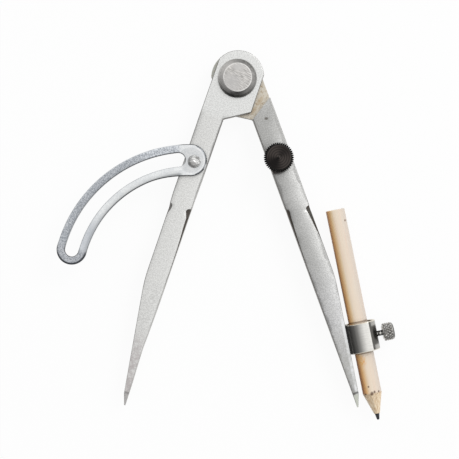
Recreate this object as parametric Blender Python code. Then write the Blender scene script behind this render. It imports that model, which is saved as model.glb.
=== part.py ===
"""A 150 mm wing compass with a pencil holder, lying on its back with its front face up.

Frame: metres, +Z up. The origin is on the pivot of the two legs, on the surface that the
compass lies on. The legs point down the sheet, along -Y, and open towards -X and +X.
Each leg has a frame of its own: the origin on the pivot, the leg along -Y. In outlines of a
leg, "along" runs from the pivot to the point and "out" runs to the leg's outer side.
"""

import math

import bmesh
import bpy
from mathutils import Matrix, Vector

# Running gap between touching pieces, and how far a cutter passes the face that it cuts
CLEARANCE = 0.0003
OVERRUN = 0.002

# The two legs are one forging, used face up on the left and turned over on the right
OPENING_LEFT = math.radians(19.0)
OPENING_RIGHT = math.radians(20.0)
LEG_REACH = 0.1388
LEG_WIDTH = 0.0100
LEG_THICKNESS = 0.0080
EDGE_BREAK = 0.00025
HEAD_BULGE = 0.0009
LUG_SET_BACK = 0.0013
LUG_CORNER_RADIUS = 0.0006
ROOT_RADIUS = 0.0012
SHOULDER_STEP = 0.0041
SHOULDER_ANGLE = math.radians(32.3)
TAPER_LENGTH = 0.0533
TAPER_BLEND_RADIUS = 0.060
GRIND_LENGTH = 0.0048
POINT_WIDTH = 0.0026
POINT_THICKNESS = 0.0040
TIP_WIDTH = 0.0004
TIP_THICKNESS = 0.0005

# Stop chamfers, filed on the four long edges of each leg from its middle down: each has a
# round start at its full width, and narrows quickly to the knee and slowly from there
SCALLOP_ABOVE_TAPER = 0.0295
SCALLOP_RUNOUT = 0.0015
SCALLOP_KNEE = 0.0040
SCALLOP_KNEE_SHARE = 0.46
SCALLOP_SLOPE = math.radians(52.0)
FRONT_INNER_WIDTH = 0.0021
FRONT_INNER_LENGTH = 0.0320
FRONT_OUTER_WIDTH = 0.0008
FRONT_OUTER_LENGTH = 0.0065
BACK_INNER_WIDTH = 0.0011
BACK_INNER_LENGTH = 0.0140
BACK_OUTER_WIDTH = 0.0014
BACK_OUTER_LENGTH = 0.0155

# Pivot rivet, with a chamfered head in front and a countersunk tail in a washer behind; its
# radii, and the washer's, are shares of the legs' width
PIVOT_SHANK_SHARE = 0.40
PIVOT_HEAD_SHARE = 0.775
PIVOT_FACE_SHARE = 0.59
PIVOT_TAIL_SHARE = 0.48
WASHER_SHARE = 0.72
PIVOT_HEAD_HEIGHT = 0.0022
PIVOT_RIM = 0.0006
WASHER_THICKNESS = 0.0012
WASHER_CHAMFER = 0.0003

# Slotted wing, riveted to the left leg; angles are about the centre of its arc
WING_RADIUS = 0.0488
WING_WIDTH = 0.0122
WING_THICKNESS = 0.0020
WING_EDGE_BREAK = 0.0003
WING_SPAN = math.radians(76.7)
WING_EYE_ANGLE = math.radians(1.6)
WING_RIVET_INSET = 0.00075
WING_TURN = math.radians(-2.0)
SLOT_WIDTH = 0.0052
SLOT_START = math.radians(7.5)
WING_RIVET_ALONG = 0.0374
WING_RIVET_OUT = 0.0054
WING_RIVET_SHANK = 0.0016
WING_RIVET_HEAD = 0.0026
WING_RIVET_DOME = 0.0017
WING_RIVET_TAIL = 0.0025

# Clamp screw on the right leg: a knurled head with a collar, on a threaded stud
CLAMP_ALONG = 0.0358
CLAMP_OUT = 0.0043
STUD_RADIUS = 0.0025
STUD_CHAMFER = 0.0004
COLLAR_RADIUS = 0.0037
COLLAR_HEIGHT = 0.0026
KNOB_RADIUS = 0.00585
KNOB_HEIGHT = 0.0048
KNOB_CHAMFER = 0.0005
KNOB_TOOTH = 0.00035
KNOB_TEETH = 42
KNOB_SOCKET = 0.0030

# Pencil and lead, held beside the right leg's tapered edge
PENCIL_RADIUS = 0.00382
PENCIL_ABOVE = 0.0523
PENCIL_BELOW = 0.0335
PENCIL_CHAMFER = 0.0002
SHARPENED = 0.0117
LEAD_RADIUS = 0.0010
LEAD_EXPOSED = 0.0021
LEAD_POINT_RADIUS = 0.0004

# Holder: one strap of sheet steel wrapped round the pencil, lapped over itself in front
HOLDER_ABOVE_POINT = 0.0249
STRAP_THICKNESS = 0.0009
STRAP_LAP_GAP = 0.00015
STRAP_HEIGHT = 0.0118
STRAP_PLAY = 0.0019
STRAP_LEG_CORNER = 0.0026
STRAP_INNER_END = 0.0004
STRAP_OUTER_END = math.radians(69.0)
HOLDER_RIVET_SHANK = 0.0010
HOLDER_RIVET_HEAD = 0.0017
HOLDER_RIVET_DEPTH = 0.0030

# Thumb screw of the holder, square to the pencil
THUMB_SHANK_RADIUS = 0.00125
THUMB_EXPOSED = 0.0021
THUMB_RADIUS = 0.0036
THUMB_WIDTH = 0.0047
THUMB_CHAMFER = 0.0007
THUMB_TIP_CHAMFER = 0.0002
THUMB_TOOTH = 0.0002
THUMB_TEETH = 28
THUMB_SOCKET = 0.0030

# Facets of round work
ROUND_STEPS = 48
SMALL_STEPS = 24
CORNER_STEPS = 6
ARC_STEPS = 26
SHARP_ANGLE = math.radians(32.0)
STEEPEST_INSET = math.radians(60.0)

# Levels and sizes that follow from the ones above
LEG_BACK = WASHER_THICKNESS + CLEARANCE
LEG_MIDDLE = LEG_BACK + LEG_THICKNESS / 2
LEG_FRONT = LEG_BACK + LEG_THICKNESS
SEAT = LEG_FRONT + CLEARANCE
INNER_FACE = CLEARANCE / 2
HEAD_RADIUS = LEG_WIDTH + HEAD_BULGE
LUG_REACH = HEAD_RADIUS - LUG_SET_BACK
PIVOT_SHANK_RADIUS = LEG_WIDTH * PIVOT_SHANK_SHARE
PIVOT_HEAD_RADIUS = LEG_WIDTH * PIVOT_HEAD_SHARE
PIVOT_FACE_RADIUS = LEG_WIDTH * PIVOT_FACE_SHARE
PIVOT_TAIL_RADIUS = LEG_WIDTH * PIVOT_TAIL_SHARE
WASHER_RADIUS = LEG_WIDTH * WASHER_SHARE
SHOULDER_DISTANCE = HEAD_RADIUS + SHOULDER_STEP
TAPER_START = LEG_REACH - TAPER_LENGTH
GRIND_START = LEG_REACH - GRIND_LENGTH
SCALLOP_START = TAPER_START - SCALLOP_ABOVE_TAPER
HOLDER_ALONG = LEG_REACH - HOLDER_ABOVE_POINT
TAPER_ANGLE = math.atan2(LEG_WIDTH - INNER_FACE - POINT_WIDTH, GRIND_START - TAPER_START)
STRAP_BORE = PENCIL_RADIUS + CLEARANCE
TURNED_OVER = Matrix.Rotation(math.pi, 4, "Y")


def clear_scene():
    """Remove every object of the open scene."""
    for item in list(bpy.context.scene.objects):
        bpy.data.objects.remove(item, do_unlink=True)


def surface(name, colour, roughness, metallic):
    """A plain material of one colour."""
    made = bpy.data.materials.new(name)
    made.use_nodes = True
    shader = made.node_tree.nodes["Principled BSDF"]
    shader.inputs["Base Color"].default_value = (*colour, 1.0)
    shader.inputs["Roughness"].default_value = roughness
    shader.inputs["Metallic"].default_value = metallic
    return made


def frame(name, parent, place):
    """An empty that carries the pieces of one joint or one fitting."""
    made = bpy.data.objects.new(name, None)
    bpy.context.scene.collection.objects.link(made)
    made.parent = parent
    made.matrix_basis = place
    return made


def piece(name, shape, material, parent=None, place=None):
    """Put a bmesh into the scene as one named object."""
    mesh = bpy.data.meshes.new(name)
    shape.to_mesh(mesh)
    shape.free()
    mesh.shade_smooth()
    mesh.set_sharp_from_angle(angle=SHARP_ANGLE)
    mesh.materials.append(material)
    made = bpy.data.objects.new(name, mesh)
    bpy.context.scene.collection.objects.link(made)
    made.parent = parent
    made.matrix_basis = place or Matrix.Identity(4)
    return made


def cut(target, name, shape, place=None):
    """Take a shape away from a piece, placed in the frame that carries the piece."""
    cutter = piece(f"{target.name}_{name}", shape, target.data.materials[0], target.parent, place)
    cutter.hide_render = True
    cutter.display_type = "WIRE"
    hole = target.modifiers.new(name, "BOOLEAN")
    hole.operation = "DIFFERENCE"
    hole.object = cutter


def loft(rings, closed=False):
    """A closed mesh through rings of equally many points, with flat ends unless it closes."""
    shape = bmesh.new()
    rows = [[shape.verts.new(point) for point in ring] for ring in rings]
    pairs = list(zip(rows, rows[1:]))
    if closed:
        pairs.append((rows[-1], rows[0]))
    else:
        shape.faces.new(rows[0])
        shape.faces.new(rows[-1])
    for near, far in pairs:
        for i in range(len(near)):
            shape.faces.new((near[i - 1], near[i], far[i], far[i - 1]))
    bmesh.ops.recalc_face_normals(shape, faces=shape.faces)
    return shape


def turned(profile, steps=ROUND_STEPS, teeth=0, depth=0.0, closed=False):
    """Turn a profile of (radius, height, toothed) about Z; toothed rings get V-shaped teeth."""
    count = 2 * teeth or steps
    rings = []
    for radius, height, toothed in profile:
        ring = []
        for i in range(count):
            reach = radius - depth * (i % 2) * toothed
            angle = math.tau * i / count
            ring.append((reach * math.cos(angle), reach * math.sin(angle), height))
        rings.append(ring)
    return loft(rings, closed)


def plain(profile):
    """A profile without teeth."""
    return [(radius, height, 0) for radius, height in profile]


def rod(radius, low, high, steps=SMALL_STEPS):
    """A plain round bar along Z."""
    return turned(plain([(radius, low), (radius, high)]), steps)


def arc(centre, radius, start, end, steps):
    """Points along an arc, ends included; angles run from +x towards +y."""
    turn = (end - start) / steps
    return [
        (
            centre[0] + radius * math.cos(start + turn * i),
            centre[1] + radius * math.sin(start + turn * i),
        )
        for i in range(steps + 1)
    ]


def rounded_corner(before, corner, after, radius, steps=CORNER_STEPS):
    """The tangent arc that rounds one corner of an outline."""
    corner = Vector(corner)
    back = (Vector(before) - corner).normalized()
    ahead = (Vector(after) - corner).normalized()
    half = back.angle(ahead) / 2
    centre = corner + (back + ahead).normalized() * radius / math.sin(half)
    first = corner + back * radius / math.tan(half) - centre
    last = corner + ahead * radius / math.tan(half) - centre
    start = math.atan2(first.y, first.x)
    sweep = (math.atan2(last.y, last.x) - start + math.pi) % math.tau - math.pi
    return arc(centre, radius, start, start + sweep, steps)


def inset(outline, distances):
    """An anticlockwise outline moved inwards, by a distance of its own at each point."""
    moved = []
    for i, distance in enumerate(distances):
        here = Vector(outline[i])
        arriving = (here - Vector(outline[i - 1])).normalized()
        leaving = (Vector(outline[(i + 1) % len(outline)]) - here).normalized()
        mean = Vector((-arriving.y - leaving.y, arriving.x + leaving.x)).normalized()
        slant = max(mean.dot(Vector((-arriving.y, arriving.x))), math.cos(STEEPEST_INSET))
        moved.append(tuple(here + mean * distance / slant))
    return moved


def at_height(outline, height):
    """A flat outline as a ring of points at one height."""
    return [(x, y, height) for x, y in outline]


def turn_z(angle):
    return Matrix.Rotation(angle, 4, "Z")


def move(x, y, z=0.0):
    return Matrix.Translation((x, y, z))


# Legs


def stop_along(out):
    """Where the lug's stop edge lies; it meets the other leg's shoulder when the legs close."""
    reach = SHOULDER_DISTANCE - CLEARANCE + out * math.sin(SHOULDER_ANGLE)
    return reach / math.cos(SHOULDER_ANGLE)


def leg_outline():
    """The forging seen from the front, as (along, out): round head, lug, blade and point.

    The head is round on top only: the straight sides of the blade and the lug run on past the
    pivot.
    """
    outer_side = math.pi - math.asin(LEG_WIDTH / HEAD_RADIUS)
    lug_side = math.pi + math.asin(LUG_REACH / HEAD_RADIUS)
    head = arc((0, 0), HEAD_RADIUS, outer_side, lug_side, ROUND_STEPS // 2)
    lug = (stop_along(-LUG_REACH), -LUG_REACH)
    root = (stop_along(INNER_FACE), INNER_FACE)
    point = (LEG_REACH, INNER_FACE)
    ground = (GRIND_START, INNER_FACE + POINT_WIDTH)
    hip = (TAPER_START, LEG_WIDTH)
    outline = head
    outline += rounded_corner(head[-1], lug, root, LUG_CORNER_RADIUS)
    outline += rounded_corner(lug, root, point, ROOT_RADIUS)
    outline += [point, (LEG_REACH, INNER_FACE + TIP_WIDTH), ground]
    outline += rounded_corner(ground, hip, head[0], TAPER_BLEND_RADIUS)
    return outline


def thickness_share(along):
    """The leg's thickness at a place along it, as a share of its full thickness."""
    if along <= TAPER_START:
        return 1.0
    if along <= GRIND_START:
        way = (along - TAPER_START) / (GRIND_START - TAPER_START)
        return 1.0 + way * (POINT_THICKNESS / LEG_THICKNESS - 1.0)
    way = (along - GRIND_START) / (LEG_REACH - GRIND_START)
    return (POINT_THICKNESS + way * (TIP_THICKNESS - POINT_THICKNESS)) / LEG_THICKNESS


def leg_blank():
    """The forging with broken edges, thinned towards the point and ground to it."""
    outline = [(-out, -along) for along, out in reversed(leg_outline())]
    broken = inset(outline, [EDGE_BREAK * thickness_share(-y) for x, y in outline])
    half = LEG_THICKNESS / 2
    flank = half - EDGE_BREAK
    shape = loft(
        [
            at_height(broken, -half),
            at_height(outline, -flank),
            at_height(outline, flank),
            at_height(broken, half),
        ]
    )
    for along in (TAPER_START, GRIND_START):
        everything = shape.verts[:] + shape.edges[:] + shape.faces[:]
        bmesh.ops.bisect_plane(shape, geom=everything, plane_co=(0, -along, 0), plane_no=(0, 1, 0))
    for vertex in shape.verts:
        vertex.co.z *= thickness_share(-vertex.co.y)
    return shape


def lap_cutter():
    """Half the thickness, from the head's top to the shoulder that runs slantwise across."""
    sides = (LEG_WIDTH + OVERRUN, -LUG_REACH - OVERRUN)
    slant = [
        ((SHOULDER_DISTANCE - out * math.sin(SHOULDER_ANGLE)) / math.cos(SHOULDER_ANGLE), out)
        for out in sides
    ]
    top = [(-HEAD_RADIUS - OVERRUN, out) for out in reversed(sides)]
    outline = [(-out, -along) for along, out in slant + top]
    return loft(
        [at_height(outline, -LEG_THICKNESS / 2 - OVERRUN), at_height(outline, CLEARANCE / 2)]
    )


def scallop_cutter(width, length, outer, back):
    """A wedge that cuts one stop chamfer, on the inner or outer edge in front or behind."""
    slope = Vector((math.cos(SCALLOP_SLOPE), math.sin(SCALLOP_SLOPE)))
    front = LEG_THICKNESS / 2
    beside = -2 * OVERRUN
    quarter = [math.pi / 2 * i / CORNER_STEPS for i in range(CORNER_STEPS + 1)]
    stations = [(SCALLOP_RUNOUT * (1 - math.cos(turn)), math.sin(turn)) for turn in quarter]
    stations += [(SCALLOP_KNEE, SCALLOP_KNEE_SHARE), (length, 0)]
    rings = []
    for below_start, share in stations:
        face = Vector((width * share, front)) + slope * OVERRUN
        flank = Vector((0, front - width * share * math.tan(SCALLOP_SLOPE))) - slope * OVERRUN
        ring = []
        for inward, height in (face, flank, (beside, flank.y), (beside, face.y)):
            out = LEG_WIDTH - inward if outer else INNER_FACE + inward
            ring.append((-out, -SCALLOP_START - below_start, -height if back else height))
        rings.append(ring)
    return loft(rings)


def leg(name, carrier, place, material):
    """One leg: the blank, halved at the head, bored for the pivot and filed on four edges."""
    made = piece(name, leg_blank(), material, carrier, place)
    across = LEG_THICKNESS / 2 + OVERRUN
    cut(made, "lap", lap_cutter(), place)
    cut(made, "pivot_hole", rod(PIVOT_SHANK_RADIUS + CLEARANCE, -across, across, ROUND_STEPS), place)
    cut(made, "front_inner_scallop",
        scallop_cutter(FRONT_INNER_WIDTH, FRONT_INNER_LENGTH, outer=False, back=False), place)
    cut(made, "front_outer_scallop",
        scallop_cutter(FRONT_OUTER_WIDTH, FRONT_OUTER_LENGTH, outer=True, back=False), place)
    cut(made, "back_inner_scallop",
        scallop_cutter(BACK_INNER_WIDTH, BACK_INNER_LENGTH, outer=False, back=True), place)
    cut(made, "back_outer_scallop",
        scallop_cutter(BACK_OUTER_WIDTH, BACK_OUTER_LENGTH, outer=True, back=True), place)
    return made


# Pivot


def pivot_rivet(material):
    """Shank through both laps, chamfered head in front, tail spread in the washer behind."""
    top = SEAT + PIVOT_HEAD_HEIGHT
    profile = [
        (PIVOT_TAIL_RADIUS, 0),
        (PIVOT_SHANK_RADIUS, WASHER_THICKNESS),
        (PIVOT_SHANK_RADIUS, SEAT),
        (PIVOT_HEAD_RADIUS, SEAT),
        (PIVOT_HEAD_RADIUS, SEAT + PIVOT_RIM),
        (PIVOT_FACE_RADIUS, top),
    ]
    return piece("pivot_rivet", turned(plain(profile)), material)


def pivot_washer(material):
    """Round washer with a countersunk hole for the rivet's tail; the compass rests on it."""
    profile = [
        (PIVOT_TAIL_RADIUS + CLEARANCE, 0),
        (WASHER_RADIUS - WASHER_CHAMFER, 0),
        (WASHER_RADIUS, WASHER_CHAMFER),
        (WASHER_RADIUS, WASHER_THICKNESS),
        (PIVOT_SHANK_RADIUS + CLEARANCE, WASHER_THICKNESS),
    ]
    return piece("pivot_washer", turned(plain(profile), closed=True), material)


# Wing


def wing_band(width, start, end):
    """Anticlockwise outline of a band with round ends along the wing's arc.

    The rivet is at the origin and the arc's centre is straight below it. Angles run
    anticlockwise from the rivet.
    """
    centre = (0, WING_RIVET_INSET - WING_RADIUS)
    up = math.pi / 2
    near = arc(centre, WING_RADIUS, up + start, up + end, 1)
    outline = arc(centre, WING_RADIUS + width / 2, up + start, up + end, ARC_STEPS)
    outline += arc(near[1], width / 2, up + end, up + end + math.pi, CORNER_STEPS * 2)[1:-1]
    outline += arc(centre, WING_RADIUS - width / 2, up + end, up + start, ARC_STEPS)
    outline += arc(near[0], width / 2, up + start - math.pi, up + start, CORNER_STEPS * 2)[1:-1]
    return outline


def wing(carrier, material):
    """Sheet arc with a slot along it and an eye for its rivet."""
    outline = wing_band(WING_WIDTH, WING_EYE_ANGLE, WING_SPAN)
    broken = inset(outline, [WING_EDGE_BREAK] * len(outline))
    shape = loft(
        [
            at_height(broken, 0),
            at_height(outline, WING_EDGE_BREAK),
            at_height(outline, WING_THICKNESS - WING_EDGE_BREAK),
            at_height(broken, WING_THICKNESS),
        ]
    )
    made = piece("wing", shape, material, carrier)
    slot = wing_band(SLOT_WIDTH, SLOT_START, WING_SPAN)
    flare = inset(slot, [-WING_EDGE_BREAK - OVERRUN] * len(slot))
    cutter = loft(
        [
            at_height(flare, -OVERRUN),
            at_height(slot, WING_EDGE_BREAK),
            at_height(slot, WING_THICKNESS - WING_EDGE_BREAK),
            at_height(flare, WING_THICKNESS + OVERRUN),
        ]
    )
    cut(made, "slot", cutter)
    cut(made, "eye", rod(WING_RIVET_SHANK + CLEARANCE, -OVERRUN, WING_THICKNESS + OVERRUN))
    return made


def wing_rivet_profile():
    """Round-headed rivet from the leg's back, where its tail is sunk flush, to its dome."""
    sink = WING_RIVET_TAIL - WING_RIVET_SHANK
    head = LEG_THICKNESS + CLEARANCE + WING_THICKNESS + CLEARANCE
    dome_radius = (WING_RIVET_HEAD**2 + WING_RIVET_DOME**2) / (2 * WING_RIVET_DOME)
    rim = math.asin(WING_RIVET_HEAD / dome_radius)
    dome = arc((0, head + WING_RIVET_DOME - dome_radius), dome_radius,
               math.pi / 2 - rim, math.pi / 2 - rim / CORNER_STEPS, CORNER_STEPS - 1)
    shank = [(WING_RIVET_TAIL, 0), (WING_RIVET_SHANK, sink), (WING_RIVET_SHANK, head)]
    return shank + dome


def wing_rivet(carrier, holed_leg, material):
    """The wing's rivet, and its hole in the leg."""
    made = piece("wing_rivet", turned(plain(wing_rivet_profile()), SMALL_STEPS), material, carrier)
    sink = WING_RIVET_TAIL - WING_RIVET_SHANK
    hole = [
        (WING_RIVET_TAIL + CLEARANCE + OVERRUN, -OVERRUN),
        (WING_RIVET_SHANK + CLEARANCE, sink),
        (WING_RIVET_SHANK + CLEARANCE, LEG_THICKNESS + OVERRUN),
    ]
    shape = turned(plain(hole), SMALL_STEPS)
    level = move(-WING_RIVET_OUT, -WING_RIVET_ALONG, -LEG_THICKNESS / 2)
    cut(holed_leg, "wing_rivet_hole", shape, level)
    return made


# Clamp screw


def clamp_knob(carrier, material):
    """Knurled head with a plain collar under it and a socket for the stud."""
    head = COLLAR_HEIGHT + KNOB_HEIGHT
    waist = KNOB_RADIUS - KNOB_TOOTH - KNOB_CHAMFER
    profile = [
        (STUD_RADIUS + CLEARANCE, COLLAR_HEIGHT + KNOB_SOCKET, 0),
        (STUD_RADIUS + CLEARANCE, 0, 0),
        (COLLAR_RADIUS, 0, 0),
        (COLLAR_RADIUS, COLLAR_HEIGHT, 0),
        (waist, COLLAR_HEIGHT, 0),
        (KNOB_RADIUS, COLLAR_HEIGHT + KNOB_CHAMFER, 1),
        (KNOB_RADIUS, head - KNOB_CHAMFER, 1),
        (waist, head, 0),
    ]
    shape = turned(profile, teeth=KNOB_TEETH, depth=KNOB_TOOTH)
    return piece("clamp_knob", shape, material, carrier)


def clamp_stud(carrier, holed_leg, material):
    """Threaded stud from the knob's socket through the leg, ending just short of its back."""
    low = -LEG_THICKNESS
    high = COLLAR_HEIGHT + KNOB_SOCKET - CLEARANCE
    profile = [
        (STUD_RADIUS - STUD_CHAMFER, low),
        (STUD_RADIUS, low + STUD_CHAMFER),
        (STUD_RADIUS, high - STUD_CHAMFER),
        (STUD_RADIUS - STUD_CHAMFER, high),
    ]
    made = piece("clamp_stud", turned(plain(profile), SMALL_STEPS), material, carrier)
    across = LEG_THICKNESS / 2 + OVERRUN
    hole = rod(STUD_RADIUS + CLEARANCE, -across, across)
    cut(holed_leg, "clamp_hole", hole, move(CLAMP_OUT, -CLAMP_ALONG))
    return made


# Pencil holder; its frame has the pencil along -Y and +X pointing away from the leg


def strap_path():
    """Places along the strap's inner side, as (x, z), with the outward direction at each.

    The strap starts under its own lap in front, runs round the outer side, the back and the
    leg's side, climbs over its start and ends part way round the outer corner.
    """
    leg_side = -STRAP_BORE
    bend_x = STRAP_PLAY
    corner_x = leg_side + STRAP_LEG_CORNER
    corner_z = STRAP_BORE - STRAP_LEG_CORNER
    quarter = math.pi / 2
    climb = STRAP_THICKNESS + STRAP_LAP_GAP
    path = [((STRAP_INNER_END, STRAP_BORE), quarter, 0)]
    turns = CORNER_STEPS * 2
    for i in range(turns + 1):
        path.append(((bend_x, 0), quarter - math.pi * i / turns, STRAP_BORE))
    for i in range(CORNER_STEPS + 1):
        path.append(((corner_x, -corner_z), -quarter - quarter * i / CORNER_STEPS, STRAP_LEG_CORNER))
    for i in range(CORNER_STEPS + 1):
        radius = STRAP_LEG_CORNER + climb * i / CORNER_STEPS
        path.append(((corner_x, corner_z), math.pi - quarter * i / CORNER_STEPS, radius))
    lap_turn = quarter - STRAP_OUTER_END
    for i in range(CORNER_STEPS + 1):
        angle = quarter - lap_turn * i / CORNER_STEPS
        path.append(((bend_x, 0), angle, STRAP_BORE + climb))
    return path


def holder_strap(carrier, material):
    """The wrapped strap, with a hole for the thumb screw and one for its rivet."""
    rings = []
    for (x, z), angle, radius in strap_path():
        away = Vector((math.cos(angle), math.sin(angle)))
        inner = Vector((x, z)) + away * radius
        outer = inner + away * STRAP_THICKNESS
        low, high = -STRAP_HEIGHT / 2, STRAP_HEIGHT / 2
        rings.append([(inner.x, low, inner.y), (outer.x, low, outer.y),
                      (outer.x, high, outer.y), (inner.x, high, inner.y)])
    made = piece("holder_strap", loft(rings), material, carrier)
    sideways = Matrix.Rotation(math.pi / 2, 4, "Y")
    outer_wall = STRAP_BORE + STRAP_PLAY
    thumb_hole = rod(THUMB_SHANK_RADIUS + CLEARANCE, outer_wall - OVERRUN,
                     outer_wall + STRAP_THICKNESS + OVERRUN)
    cut(made, "thumb_hole", thumb_hole, sideways)
    slope = (HOLDER_RIVET_HEAD - HOLDER_RIVET_SHANK) / STRAP_THICKNESS
    sunk = [
        (HOLDER_RIVET_HEAD + CLEARANCE + slope * OVERRUN, -OVERRUN),
        (HOLDER_RIVET_SHANK + CLEARANCE - slope * CLEARANCE, STRAP_THICKNESS + CLEARANCE),
    ]
    cut(made, "rivet_hole", turned(plain(sunk), SMALL_STEPS),
        move(-STRAP_BORE, 0) @ Matrix.Rotation(-math.pi / 2, 4, "Y"))
    return made


def holder_rivet(carrier, holed_leg, material):
    """Flush rivet from inside the strap into the leg's tapered edge."""
    depth = STRAP_THICKNESS + CLEARANCE + HOLDER_RIVET_DEPTH
    profile = [
        (HOLDER_RIVET_HEAD, 0),
        (HOLDER_RIVET_SHANK, STRAP_THICKNESS),
        (HOLDER_RIVET_SHANK, depth),
    ]
    into_leg = move(-STRAP_BORE, 0) @ Matrix.Rotation(-math.pi / 2, 4, "Y")
    made = piece("holder_rivet", turned(plain(profile), SMALL_STEPS), material, carrier, into_leg)
    hole = rod(HOLDER_RIVET_SHANK + CLEARANCE, STRAP_THICKNESS + CLEARANCE - OVERRUN,
               depth + CLEARANCE)
    cut(holed_leg, "holder_rivet_hole", hole, carrier.matrix_basis @ into_leg)
    return made


def thumb_screw(carrier, material):
    """Screw shank that bears on the pencil, with a threaded stretch in the strap's outer wall."""
    knob = STRAP_BORE + STRAP_PLAY + STRAP_THICKNESS + THUMB_EXPOSED
    profile = [
        (THUMB_SHANK_RADIUS - THUMB_TIP_CHAMFER, STRAP_BORE),
        (THUMB_SHANK_RADIUS, STRAP_BORE + THUMB_TIP_CHAMFER),
        (THUMB_SHANK_RADIUS, knob + THUMB_SOCKET - CLEARANCE),
    ]
    return piece("thumb_screw", turned(plain(profile), SMALL_STEPS), material, carrier,
                 Matrix.Rotation(math.pi / 2, 4, "Y"))


def thumb_knob(carrier, material):
    """Small knurled head with rounded edges, socketed on the screw."""
    low = STRAP_BORE + STRAP_PLAY + STRAP_THICKNESS + THUMB_EXPOSED
    high = low + THUMB_WIDTH
    small = THUMB_RADIUS - THUMB_CHAMFER
    between = THUMB_RADIUS - THUMB_CHAMFER * (1 - math.cos(math.pi / 4))
    rise = THUMB_CHAMFER * (1 - math.sin(math.pi / 4))
    profile = [
        (THUMB_SHANK_RADIUS + CLEARANCE, low + THUMB_SOCKET, 0),
        (THUMB_SHANK_RADIUS + CLEARANCE, low, 0),
        (small, low, 0),
        (between, low + rise, 0),
        (THUMB_RADIUS, low + THUMB_CHAMFER, 1),
        (THUMB_RADIUS, high - THUMB_CHAMFER, 1),
        (between, high - rise, 0),
        (small, high, 0),
    ]
    shape = turned(profile, teeth=THUMB_TEETH, depth=THUMB_TOOTH)
    return piece("thumb_knob", shape, material, carrier, Matrix.Rotation(math.pi / 2, 4, "Y"))


def pencil(carrier, wood, graphite):
    """Round wooden pencil, cut to a cone below, with its lead all the way through."""
    shoulder = PENCIL_BELOW - SHARPENED
    mouth = PENCIL_BELOW - LEAD_EXPOSED
    downwards = Matrix.Rotation(math.pi / 2, 4, "X")
    bore = LEAD_RADIUS + CLEARANCE
    casing = [
        (bore, -PENCIL_ABOVE),
        (PENCIL_RADIUS - PENCIL_CHAMFER, -PENCIL_ABOVE),
        (PENCIL_RADIUS, PENCIL_CHAMFER - PENCIL_ABOVE),
        (PENCIL_RADIUS, shoulder),
        (bore + PENCIL_CHAMFER, mouth),
        (bore, mouth),
    ]
    core = [
        (LEAD_RADIUS, -PENCIL_ABOVE),
        (LEAD_RADIUS, mouth),
        (LEAD_POINT_RADIUS, PENCIL_BELOW),
    ]
    piece("pencil_wood", turned(plain(casing), closed=True), wood, carrier, downwards)
    piece("pencil_lead", turned(plain(core), SMALL_STEPS), graphite, carrier, downwards)


def build():
    """Make every piece in its place."""
    clear_scene()
    ground_steel = surface("ground_steel", (0.66, 0.66, 0.64), 0.42, 1.0)
    rivet_steel = surface("rivet_steel", (0.55, 0.53, 0.50), 0.35, 1.0)
    zinc = surface("zinc_plate", (0.62, 0.65, 0.68), 0.30, 1.0)
    blackened = surface("blackened_steel", (0.03, 0.028, 0.026), 0.45, 1.0)
    gunmetal = surface("gunmetal", (0.30, 0.29, 0.27), 0.30, 1.0)
    nickel = surface("dull_nickel", (0.42, 0.42, 0.41), 0.45, 1.0)
    wood = surface("pencil_wood", (0.72, 0.52, 0.34), 0.60, 0.0)
    graphite = surface("graphite", (0.05, 0.05, 0.055), 0.45, 0.0)

    left = frame("left_leg_frame", None, move(0, 0, LEG_MIDDLE) @ turn_z(-OPENING_LEFT))
    right = frame("right_leg_frame", None, move(0, 0, LEG_MIDDLE) @ turn_z(OPENING_RIGHT))
    left_leg = leg("left_leg", left, Matrix.Identity(4), ground_steel)
    right_leg = leg("right_leg", right, TURNED_OVER, ground_steel)
    pivot_rivet(rivet_steel)
    pivot_washer(rivet_steel)

    half = LEG_THICKNESS / 2
    wing_place = move(-WING_RIVET_OUT, -WING_RIVET_ALONG, half + CLEARANCE)
    wing_frame = frame("wing_frame", left, wing_place @ turn_z(OPENING_LEFT + WING_TURN))
    wing(wing_frame, zinc)
    rivet_place = move(-WING_RIVET_OUT, -WING_RIVET_ALONG, -half)
    wing_rivet(frame("wing_rivet_frame", left, rivet_place), left_leg, rivet_steel)

    clamp_place = move(CLAMP_OUT, -CLAMP_ALONG, half + CLEARANCE)
    clamp_frame = frame("clamp_frame", right, clamp_place)
    clamp_stud(clamp_frame, right_leg, blackened)
    clamp_knob(clamp_frame, blackened)

    off_edge = CLEARANCE + STRAP_THICKNESS + STRAP_BORE
    edge_out = LEG_WIDTH - (HOLDER_ALONG - TAPER_START) * math.tan(TAPER_ANGLE)
    holder_along = HOLDER_ALONG + off_edge * math.sin(TAPER_ANGLE)
    holder_out = edge_out + off_edge * math.cos(TAPER_ANGLE)
    holder_place = move(holder_out, -holder_along) @ turn_z(-TAPER_ANGLE)
    holder = frame("holder_frame", right, holder_place)
    holder_strap(holder, gunmetal)
    holder_rivet(holder, right_leg, rivet_steel)
    thumb_screw(holder, nickel)
    thumb_knob(holder, nickel)
    pencil(holder, wood, graphite)


build()
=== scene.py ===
"""Looks of a 150 mm wing compass with a pencil holder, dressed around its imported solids.

The compass lies on its back on a pale table. Sizes are in millimetres until a mesh is made,
and so are the coordinates that the materials read.
"""
import math

import bmesh
import bpy
from mathutils import Matrix, Vector


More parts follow.
